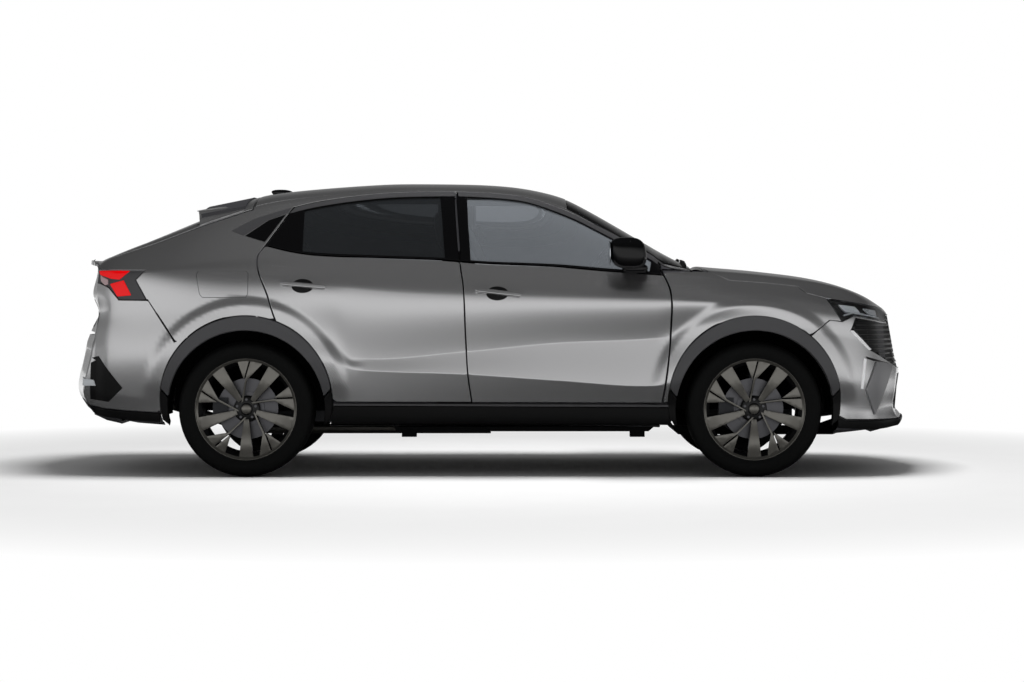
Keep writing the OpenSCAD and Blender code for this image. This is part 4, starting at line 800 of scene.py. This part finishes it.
def lathe(profile, turns=96):
    """Solid of revolution about the axle from (radius, outboard) pairs, in order."""
    points, faces = [], []
    n = len(profile)
    for k in range(turns):
        a = 2 * pi * k / turns
        points += [(r * cos(a), y, r * sin(a)) for r, y in profile]
    for k in range(turns):
        m = (k + 1) % turns
        faces += [(k * n + i, k * n + i + 1, m * n + i + 1, m * n + i) for i in range(n - 1)]
    return np.array(points), None, faces


def placed(part, flip, at=(0, 0, 0)):
    """A part set at its place, turned over for the right side, with faces smoothed by angle."""
    faces = part[2] if flip > 0 else [tuple(reversed(f)) for f in part[2]]
    return (part[0] * (1, flip, 1) + np.array(at, float), None, faces) + tuple(part[3:])


wheel_parts = []
for k in range(5):
    turn = -90 + 72 * k
    broad_spoke = polar([(266, -8.4), (266, 8.4), (56, 14), (56, -14)], turn)
    forked_blade = polar([(266, 15.6), (266, 30.6), (154, 38.6), (44, 74), (44, 60), (159, 34.0)], turn)
    short_blade = polar([(266, 32.4), (266, 46.4), (172, 41.2), (160, 40.2)], turn)
    for outline in (broad_spoke, forked_blade, short_blade):
        wheel_parts.append(sheet(wheel_face, outline, edge=1.2, flange=1.5, step=16) + (machined,))
        wheel_parts.append(sheet(wheel_face, outline, edge=0.5, flange=24, step=30, depth=2.2)
                           + (black_paint_and_barrel_shade,))
# the barrel takes the same black paint, dark enough to stand for the shade inside the rim: painted shade
barrel = lathe([(258, -96), (262, -98), (276, -104), (276, -98), (262, -88), (250, -70), (246, 20), (256, 70),
                (262, 86), (268, 94), (274, 97), (274, 99), (271, 98), (268, 94), (262, 88), (250, 72),
                (240, 60), (236, -60), (250, -92), (258, -96)])
rim_lip = lathe([(277, 99), (277.4, 104), (275, 105.6), (271.5, 105), (269, 99), (259, 91), (258, 86)])
hub = lathe([(0, 80), (24, 80), (31, 77), (34, 72), (52, 70), (66, 64), (72, 50), (72, 30), (0, 30)], 48)
cap = lathe([(0, 86.5), (20, 86), (25, 84), (27, 80)], 48)
disc = lathe([(70, 22), (92, 22), (92, 8), (165, 8), (165, -3), (150, -3), (150, -9), (165, -9), (165, -20),
              (92, -20), (92, -24), (70, -24)], 72)
bolt = lathe([(0, 76), (7, 76), (8.5, 74), (8.5, 60)], 12)
bolt_places = [(52 * cos(radians(72 * k + 18)), 0, 52 * sin(radians(72 * k + 18))) for k in range(5)]
wheel_parts += [barrel + (black_paint_and_barrel_shade,), rim_lip + (machined,), hub + (black_paint_and_barrel_shade,), cap + (machined,),
                disc + (iron,)] + [placed(bolt, 1, at) + (iron,) for at in bolt_places]
tyre_ring = lathe([(272, -104), (282, -112), (310, -121), (338, -119), (354, -108), (363, -84), (365, 0),
                   (363, 84), (354, 108), (338, 119), (310, 121), (282, 112), (272, 104)], 60)
half_track = 795.0
for side, flip in (("left", 1), ("right", -1)):
    for place, axle in (("front", fa), ("rear", ra)):
        at = (axle, flip * half_track, wheel_z)
        piece(f"wheel_{place}_{side}", f"wheel_{place}_{side}", machined,
              *[placed(p, flip, at) for p in wheel_parts],
              stands_for=(f"rim_{place}_{side}",), slot="wheel_alloy", sharp=28)
        piece(f"tyre_{place}_{side}.rubber", f"wheel_{place}_{side}", rubber, placed(tyre_ring, flip, at),
              stands_for=(f"tyre_{place}_{side}",), slot="tyre", sharp=60)

# Door handles: pull bars moulded in body colour, which stand on two feet over a recess pressed into
# the door. The recess is drawn as a flat black oval laid just proud of the skin: painted shade.
for place, line in (("rear", [(-1118, 1040), (-872, 1018)]), ("front", [(-72, 1002), (175, 976)])):
    (x0, z0), (x1, z1) = line
    tilt = (z1 - z0) / (x1 - x0)
    mid, drop = (x0 + x1) / 2, (z0 + z1) / 2
    turn = np.radians(np.arange(0, 360, 9))
    shade_oval = from_side(list(zip(mid - 4 + 60 * np.cos(turn), drop + 38 * np.sin(turn))), step=40)
    half = (x1 - x0) / 2
    bar = from_side([(mid + half * a, drop + tilt * half * a + 12 * b) for a, b in (
        (-1, -0.6), (-0.9, -1), (0.9, -1), (1, -0.6), (1, 0.6), (0.9, 1), (-0.9, 1), (-1, 0.6))], step=20)
    # painted shade: a flat grained black oval, 0.6 mm proud of the skin, stands for the shaded recess behind
    # the bar
    shade_oval_sheet = sheet(skin, shade_oval, edge=1, flange=2, step=14, depth=-0.6)
    bar_sheet = sheet(skin, bar, edge=7, flange=14, step=12, depth=-34)
    feet = [sheet(skin, from_side([(mid + half * a + dx, drop + tilt * half * a + dz)
                                   for dx, dz in ((-16, -9), (16, -9), (16, 9), (-16, 9))], step=20),
                  edge=3, flange=22, step=10, depth=-22) for a in (-0.86, 0.86)]
    for side, make in both_sides:
        piece(f"handle_{place}_{side}.bar", f"{place}_door_{side}", paint, make(bar_sheet),
              *[make(f) for f in feet], make(shade_oval_sheet) + (soft_black,),
              stands_for=(f"handle_{place}_{side}",), slot="body_paint")

# Door mirrors: gloss black moulded shells on a short arm, bolted to the front doors, with silvered glass
# to the rear.
# Silvered glass: coated on its back, which gives a clean bright reflection
mirror_glass = finish_of("silvered mirror glass", 50.0, "#c8ccd0", "#d0d4d8", Metallic=1.0, Roughness=0.02)


def lump(low, high, power=2.6, n=26, tilt=0.0):
    """Rounded block in a box: a superellipsoid, leaning back by tilt."""
    points, faces = [], []
    mid, half = (np.array(low) + high) / 2, (np.array(high) - low) / 2
    for i in range(n + 1):
        b = -pi / 2 + pi * i / n
        for k in range(2 * n):
            a = pi * k / n
            way = np.array([cos(b) * cos(a), cos(b) * sin(a), sin(b)])
            p = np.sign(way) * np.abs(way) ** (2 / power) * half
            points.append(mid + p + np.array([tilt * p[2], 0, 0]))
    for i in range(n):
        for k in range(2 * n):
            m = (k + 1) % (2 * n)
            faces.append((i * 2 * n + k, i * 2 * n + m, (i + 1) * 2 * n + m, (i + 1) * 2 * n + k))
    return np.array(points), None, faces


for side, flip in (("left", 1), ("right", -1)):
    shell = lump((650, 855, 1122), (846, 1030, 1290), 2.9, tilt=-0.12)
    arm = lump((720, 770, 1096), (860, 900, 1150), 3.0)
    pane = lump((644, 872, 1142), (656, 1012, 1270), 3.0)
    piece(f"mirror_{side}.shell", f"front_door_{side}", gloss_black,
          *[placed(p, flip) for p in (shell, arm, pane + (mirror_glass,))],
          stands_for=(f"mirror_{side}",), slot="gloss_black", sharp=60)

# Head lamps: a dark housing with bright modules behind a clear moulded cover, bolted in between wing and
# bumper, with the white day lamps below.
# Lamp reflector: plastic coated with aluminium vapour and lacquered, which gives a bright pale grey
lamp_bright = finish_of("bright lamp reflector", 6.0, "#c8ccd0", "#e4e8ec", Metallic=0.35, Roughness=0.25)
# Lamp cover: clear moulded polycarbonate, which gives a thin sharp gloss over the housing
lamp_cover = finish_of("clear lamp cover", 30.0, "#eef0f2", "#f4f6f8", Roughness=0.0, IOR=1.4,
                       Transmission_Weight=1.0)
head_line = np.concatenate([
    from_side([(fa + 398, 956), (fa + 476, 840), (fa + 546, 871), (fa + 731, 839)], closed=False),
    from_end([(452, 838), (446, 880)], nose_s, closed=False),
    from_side([(fa + 742, 908)], closed=False, step=20)])
cover = sheet(skin, head_line, gap=1.5, edge=2, flange=10, step=18, depth=1)
housing = sheet(skin, head_line, gap=3, edge=1, flange=8, step=18, depth=26)
modules = [sheet(skin, from_side(line), edge=4, flange=14, step=14, depth=14) for line in (
    [(fa + 460, 935), (fa + 500, 893), (fa + 590, 890), (fa + 560, 922)],
    [(fa + 610, 912), (fa + 640, 880), (fa + 700, 866), (fa + 700, 896)])]
brow = sheet(skin, from_side([(fa + 490, 868), (fa + 545, 884), (fa + 720, 850), (fa + 722, 856),
                              (fa + 545, 892), (fa + 482, 874)]), edge=1.5, flange=8, step=12, depth=8)
day_strips = [sheet(skin, from_side(line), edge=3, flange=10, step=12, depth=-2) for line in (
    [(1950, 790), (1972, 788), (2080, 684), (2062, 680)],
    [(2030, 640), (2046, 634), (2024, 470), (2010, 474)])]
# Light strip: white diffusing acrylic, polished, which gives a bright white line
lamp_white = finish_of("white light strip", 4.0, "#f2f4f8", "#ffffff", Roughness=0.25, Coat_Weight=1.0)
for side, make in both_sides:
    piece(f"head_lamp_{side}.housing", "body", black_paint_and_barrel_shade, make(housing),
          *[make(bright) + (lamp_bright,) for bright in (*modules, brow)],
          stands_for=("headlamps",) if side == "left" else (), slot="lamp_clear")
    piece(f"head_lamp_{side}.cover", "body", lamp_cover, make(cover), slot="lamp_clear")
    piece(f"day_lamp_{side}", "body", lamp_white, *[make(strip) for strip in day_strips],
          stands_for=("daytime_lamps",) if side == "left" else (), slot="lamp_clear")

# Tail lamps: a grey moulded housing that ends in an arrow, bolted into the body side, with red lenses let
# into it.
# Red lens: dyed acrylic over a lit guide, which gives a deep red that glows a little
lamp_red = finish_of("red lamp lens", 5.0, "#9a0004", "#c80008", Roughness=0.12, Specular_IOR_Level=0.3,
                     Emission_Color=colour("#ff0004"), Emission_Strength=0.45)
# Milky plastic: undyed acrylic at the end of the lamp, which gives a pale pinkish grey
lamp_pale = finish_of("milky lamp plastic", 5.0, "#b89a9c", "#c8b0b2", Roughness=0.3)
tail_line = np.concatenate([
    from_side([(-2124, 1116), (ra - 542, 1116), (ra - 596, 1062), (ra - 536, 954), (ra - 692, 957),
               (ra - 752, 1022), (-2120, 1048)], closed=False),
    from_end([(612, 1046), (612, 1112)], tail_s, closed=False)])
tail_case = sheet(skin, tail_line, gap=1.5, edge=2, flange=14, step=18, depth=2)
lens_upper, lens_lower, lens_back = [
    sheet(skin, from_side(line), edge=2.5, flange=6, step=14, depth=-1) for line in (
        [(-2126, 1111), (-1936, 1110), (-1996, 1064), (-2050, 1070), (-2118, 1092)],
        [(-2052, 1040), (-1970, 1060), (-1926, 979), (-2006, 973)],
        [(-2116, 1086), (-2066, 1064), (-2064, 1040), (-2084, 1034), (-2112, 1056)])]
for side, make in both_sides:
    piece(f"tail_lamp_{side}", "body", satin_trim, make(tail_case), make(lens_upper) + (lamp_red,),
          make(lens_lower) + (lamp_red,), make(lens_back) + (lamp_pale,),
          stands_for=("tail_lamps",) if side == "left" else (), slot="lamp_red")

# Spoiler: painted moulding screwed to the top of the tailgate, carrying the roof line past the glass to a
# thin edge.
def spoiler_part(half=590.0):
    """Blade that carries the roof line on to a thin, nearly level rear edge and leans in at both ends."""
    row = np.array([0, 0.15, 0.3, 0.45, 0.6, 0.75, 0.86, 0.91, 0.93, 0.95, 0.97, 0.985, 1.0])
    row = np.concatenate([-row[:0:-1], row])
    points, faces = [], []
    for f in row:
        back = -1662 + 72 * f * f
        along = (-1345, -1380, -1440, -1510, -1560, back)
        base = skin_points(from_top([(x, abs(f) * half) for x in along], 900, False))[:, 2]
        lift = min((1 - abs(f)) / 0.09, 1.0)
        lift = lift * lift * (3 - 2 * lift)
        top = []
        for x, z in zip(along, base):
            t = (x - along[0]) / (back - along[0])
            top.append((x, z + 1.2 + lift * ((1 - t) * base[0] + t * (1458 - 19 * f * f) - z)))
        profile = top + [(back + 1, top[-1][1] - 4), (-1560, base[4] - 3), (-1440, base[2] - 8),
                         (-1380, base[1] - 8)]
        points += [(x, f * half, z) for x, z in profile]
    n = len(profile)
    for i in range(len(row) - 1):
        faces += [(i * n + k, (i + 1) * n + k, (i + 1) * n + (k + 1) % n, i * n + (k + 1) % n)
                  for k in range(n)]
    faces += [tuple(range(n)), tuple((len(row) - 1) * n + k for k in reversed(range(n)))]
    return np.array(points, float), None, faces


piece("spoiler", "tailgate_lid", paint, spoiler_part(), slot="body_paint", sharp=40)

# Roof aerial: a low moulded fin in gloss black near the end of the roof, screwed on from inside over a
# seal.
aerial_base = curve(crown, -1190.0, 2)
aerial_fin = lump((-1252, -20, aerial_base - 14), (-1128, 20, aerial_base + 24), 2.4, tilt=-0.6)
piece("aerial", "body", gloss_black, aerial_fin, slot="gloss_black", sharp=60)

# Side mouldings: the satin blade at the tip of the side window and the black corner ahead of it, both
# clipped on, and the painted fuel flap on the right side.
pillar_blade = sheet(skin, from_side([(-1406, 1331), (-1335, 1304), (-1203, 1390), (-1099, 1430),
                                      (-1078, 1460), (-1180, 1430), (-1283, 1397)]),
                     edge=2, flange=5, step=14, depth=-1.5)
corner_black = sheet(skin, from_side([(-1328, 1302), (-1216, 1268), (-1108, 1422), (-1203, 1388)]), edge=1,
                     flange=3, step=14, depth=-0.8)
flap_line = from_side([(-1570, 1090), (-1551, 985), (-1536, 968), (-1306, 968), (-1293, 985), (-1293, 1095),
                       (-1306, 1108), (-1560, 1108)])
flap_groove = sheet(skin, shrink(flap_line, -2), edge=0.2, flange=0.5, step=20, depth=-0.3)
flap_lid = sheet(skin, flap_line, edge=1.2, flange=1, step=20, depth=-0.9)
for side, make in both_sides:
    piece(f"pillar_blade_{side}", "body", satin_trim, make(pillar_blade), make(corner_black) + (gloss_black,),
          slot="satin_trim")
piece("fuel_flap", "body", paint, mirrored(flap_lid), mirrored(flap_groove) + (soft_black,),
      slot="body_paint")

# Grille: black moulded slats across the nose, clipped in between the lamps in front of a dark backing,
# which is one sheet here.
grille_back = across(sheet(skin, grille_line, edge=1, flange=4, step=24, depth=8, half=True))
slats = []
for z in range(606, 866, 26):
    ends = inside(np.array([[fa + x, z + 5] for x in range(520, 800, 4)]), np.array(
        [(fa + 536, 812), (fa + 525, 786), (fa + 636, 686), (fa + 783, 610), (fa + 900, 600), (fa + 900, 872),
         (fa + 725, 828), (fa + 553, 857)]))
    start = [fa + x for x, ok in zip(range(520, 800, 4), ends) if ok]
    if start:
        strip = np.concatenate([
            from_side([(start[0] + 16, z), (2170, z - 2)], closed=False),
            from_end([(455, z - 2), (0, z - 4), (0, z + 6), (455, z + 8)], nose_s, closed=False),
            from_side([(2170, z + 8), (start[0] + 10, z + 10)], closed=False)])
        slats.append(across(sheet(skin, strip, edge=2, flange=5, step=30, depth=3, half=True)))
piece("grille_slats", "body", gloss_black, grille_back + (soft_black,), *slats, stands_for=("grille",),
      slot="gloss_black")

# Lower intake: a black grained insert in the bumper cover, between two satin blades that are clipped on
# at its sides.
# Light satin moulding: plastic under silver paint and a flat lacquer, which gives a pale sheen
satin_light = finish_of("light satin moulding", 2.5, "#8a8a8c", "#9a9a9c", 0.01, Metallic=0.6, Roughness=0.4)
intake = across(sheet(skin, intake_line, edge=4, flange=6, step=26, depth=-2, half=True))
blade = sheet(skin, from_side([(2102, 618), (2228, 598), (2092, 328), (2037, 470)]), edge=4, flange=14,
              step=14, depth=-9)
notch = sheet(skin, from_side([(2040, 648), (2200, 606), (2092, 622), (2052, 634)]), edge=1, flange=4,
              step=14, depth=-3)
piece("lower_intake", "body", soft_black, intake, slot="black_trim")
for side, make in both_sides:
    piece(f"bumper_blade_{side}", "body", satin_light, make(blade), make(notch) + (gloss_black,),
          slot="satin_trim")

# Rear mouldings: dark facets clipped to the corners of the bumper, with a bright accent, and a blank plate
# recess in the tailgate.
facet = sheet(skin, from_side([(-2170, 640), (-2120, 652), (-1975, 478), (-2060, 400), (-2180, 410)]), edge=3,
              flange=6, step=14, depth=-2)
accent = sheet(skin, from_side([(-2236, 528), (-2150, 520), (-2136, 486), (-2216, 486)]), edge=2, flange=6,
               step=12, depth=-6)
recess = across(sheet(skin, from_end([(0, 960), (300, 955), (270, 800), (0, 796)], tail_s), edge=3, flange=3,
                      step=24, depth=-1, half=True))
for side, make in both_sides:
    piece(f"bumper_facet_{side}", "body", soft_black, make(facet), make(accent) + (lamp_bright,),
          slot="black_trim")
piece("plate_recess", "tailgate_lid", soft_black, recess, slot="black_trim")

# Seats: moulded foam on a frame, under grained leather cloth sewn in panels. The seams pull shallow
# grooves into the cushions.
# Seat cover: grained leather cloth, which gives a dull black with a fine break of light
leather = finish_of("grained seat cover", 2.2, "#1a1a1c", "#26262a", 0.12, Roughness=0.58)


def cushion(low, high, power=3.4, tilt=0.0, seams=(0.62,)):
    """Crowned cushion in a box, with sewn grooves along it."""
    points, normals, faces = lump(low, high, power, 30, tilt)
    mid, half = (low[1] + high[1]) / 2, (high[1] - low[1]) / 2
    across_share = np.abs(points[:, 1] - mid) / half
    centre = points.mean(axis=0)
    for seam in seams:
        pull = 0.016 * np.exp(-((across_share - seam) / 0.035) ** 2)
        points = points + (centre - points) * pull[:, None]
    return points, normals, faces


driver_seat = [cushion((-70, 120, 470), (470, 620, 640), 3.6),
               cushion((-180, 130, 580), (0, 610, 1230), 3.2, -0.34),
               cushion((-300, 245, 1150), (-170, 495, 1385), 2.8, -0.2)]
bench = [cushion((-1010, -600, 430), (-460, 600, 640), 4.5, 0.0, (0.33,)),
         cushion((-1140, -600, 560), (-960, 600, 1115), 4.0, -0.3, (0.33,))]
for name, parts, nodes in (("front_seat_left", driver_seat, ("front_seats",)),
                           ("front_seat_right", [mirrored(part) for part in driver_seat], ()),
                           ("rear_bench_cushion", bench, ("rear_bench",))):
    seat = piece(name, "body", leather, *parts, stands_for=nodes, slot="seat_trim", sharp=70)

# Underbody and cabin fittings: pressed floor, castings, pipes, dashboard and steering wheel show as the
# CAD solids are and only get their finish. Dark plates close the wheel houses.
# Underbody coating: sprayed rubbery sealer, which gives a black without gloss
underbody = finish_of("underbody coating", 4.0, "#070708", "#0c0c0d", 0.15, Roughness=0.85,
                      Specular_IOR_Level=0.1)
# Cast and forged steel: bare running gear, which gives a rough grey metal
forged_steel = finish_of("cast and forged steel", 3.0, "#3a3b3d", "#4a4b4e", 0.08, Metallic=0.8,
                         Roughness=0.5)
# Exhaust steel: aluminised sheet, which gives a mottled grey shine
pipe_steel = finish_of("aluminised exhaust steel", 6.0, "#6c6a66", "#85827d", 0.05, Metallic=1.0,
                       Roughness=0.42)
for place, axle, wall in (("front", fa, 452.0), ("rear", ra, 640.0)):
    rim = arch(axle, -8, 188, 30, 418.0)
    for side, flip in (("left", 1), ("right", -1)):
        piece(f"wheel_house_{place}_{side}", "body", underbody,
              ([(x, flip * y, z) for y in (wall, wall - 4) for x, z in rim], None,
               [tuple(range(30)), tuple(reversed(range(30, 60)))]), slot="black_trim")
for material, names in ((underbody, ("floor_pan", "undertray", "arch_liners")),
                        (forged_steel, ("front_suspension", "rear_axle", "knuckle_left", "knuckle_right",
                                        "engine_block")),
                        (pipe_steel, ("exhaust",)), (soft_black, ("cowl", "wipers")),
                        (cabin_plastic, ("dashboard", "centre_console")), (leather, ("steering_wheel",))):
    for name in names:
        dress(name, material)
tuck("hinges", forged_steel, 4)

# Photograph's view: a long lens level with the door handles, square on to the right side and tilted down
# by one degree.
camera = bpy.data.objects.new("camera", bpy.data.cameras.new("camera"))
bpy.context.scene.collection.objects.link(camera)
camera.location = (0.1264, -14.07, 0.97)
camera.rotation_euler = (radians(90 - 1.03), 0, 0)
camera.data.lens, camera.data.sensor_width = 86.1, 36.0
bpy.context.scene.camera = camera

# Studio: a pale floor that keeps the shadow, a white surround near the horizon and a darker ceiling.
# Camera and glass see plain white, and paint and metal mirror a band that darkens upwards.
floor_mesh = bpy.data.meshes.new("studio_floor")
floor_mesh.from_pydata([(-60, -40, 0), (60, -40, 0), (60, 80, 0), (-60, 80, 0)], [], [(0, 1, 2, 3)])
floor = bpy.data.objects.new("studio_floor", floor_mesh)
bpy.context.scene.collection.objects.link(floor)
# Studio floor: matt white paper, which gives a pale ground that keeps the shadow
floor_white = finish_of("white studio floor", 400.0, "#eeeeee", "#f2f2f2", Roughness=0.9)
floor_mesh.materials.append(floor_white)
tree = floor_white.node_tree
where = add(tree, "ShaderNodeTexCoord")
reach = add(tree, "ShaderNodeVectorMath", {0: where.outputs["Object"]}, operation="LENGTH")
far = add(tree, "ShaderNodeMapRange", {"Value": reach.outputs["Value"], "From Min": 2.9, "From Max": 5.2})
glow = add(tree, "ShaderNodeEmission")
joined = add(tree, "ShaderNodeMixShader", {0: far.outputs[0], 1: tree.nodes["Principled BSDF"].outputs[0],
                                           2: glow.outputs[0]})
# the paint mirrors a darker floor, as the shaded ground beside a car looks
ray = add(tree, "ShaderNodeLightPath")
across_floor = add(tree, "ShaderNodeSeparateXYZ", {0: where.outputs["Object"]})
beside = add(tree, "ShaderNodeMath", {0: across_floor.outputs["Y"]}, operation="ABSOLUTE")
paler = add(tree, "ShaderNodeMapRange", {"Value": beside.outputs[0], "From Min": 1.6, "From Max": 7.5,
                                         "To Min": 0.01, "To Max": 1.0})
dim = add(tree, "ShaderNodeEmission", {"Strength": paler.outputs[0]})
share = add(tree, "ShaderNodeMath", {0: ray.outputs["Is Glossy Ray"], 1: 0.95}, operation="MULTIPLY")
shown = add(tree, "ShaderNodeMixShader", {0: share.outputs[0], 1: joined.outputs[0], 2: dim.outputs[0]})
tree.links.new(shown.outputs[0], tree.nodes["Material Output"].inputs["Surface"])
world = bpy.data.worlds.new("studio")
bpy.context.scene.world = world
world.use_nodes = True
sky = world.node_tree
ray = add(sky, "ShaderNodeLightPath")
seen = add(sky, "ShaderNodeMath", {0: ray.outputs["Is Camera Ray"], 1: ray.outputs["Is Transmission Ray"]},
           operation="MAXIMUM")
plain = add(sky, "ShaderNodeMix", {0: seen.outputs[0], 2: 0.25, 3: 1.0})
way = add(sky, "ShaderNodeTexCoord")
heading = add(sky, "ShaderNodeSeparateXYZ", {0: way.outputs["Generated"]})
low_band = add(sky, "ShaderNodeMapRange", {"Value": heading.outputs["Z"], "From Min": 0.10, "From Max": 0.36,
                                           "To Min": 1.0, "To Max": 0.085})
near_side = add(sky, "ShaderNodeMapRange", {"Value": heading.outputs["Y"], "From Min": -0.35,
                                            "From Max": 0.35, "To Min": 1.0, "To Max": 0.28})
mirrored_tone = add(sky, "ShaderNodeMath", {0: low_band.outputs[0], 1: near_side.outputs[0]},
                    operation="MULTIPLY")
strength = add(sky, "ShaderNodeMix", {0: ray.outputs["Is Glossy Ray"], 2: plain.outputs[0],
                                      3: mirrored_tone.outputs[0]})
sky.links.new(strength.outputs[0], sky.nodes["Background"].inputs["Strength"])
sky.nodes["Background"].inputs["Color"].default_value = (1, 1, 1, 1)
softbox = bpy.data.objects.new("overhead softbox", bpy.data.lights.new("overhead softbox", "AREA"))
bpy.context.scene.collection.objects.link(softbox)
softbox.location, softbox.rotation_euler = (0.3, -0.6, 6.5), (radians(4), radians(2), 0)
softbox.data.size, softbox.data.energy = 2.6, 480
softbox.visible_glossy = False
bpy.context.scene.view_settings.view_transform = "Standard"
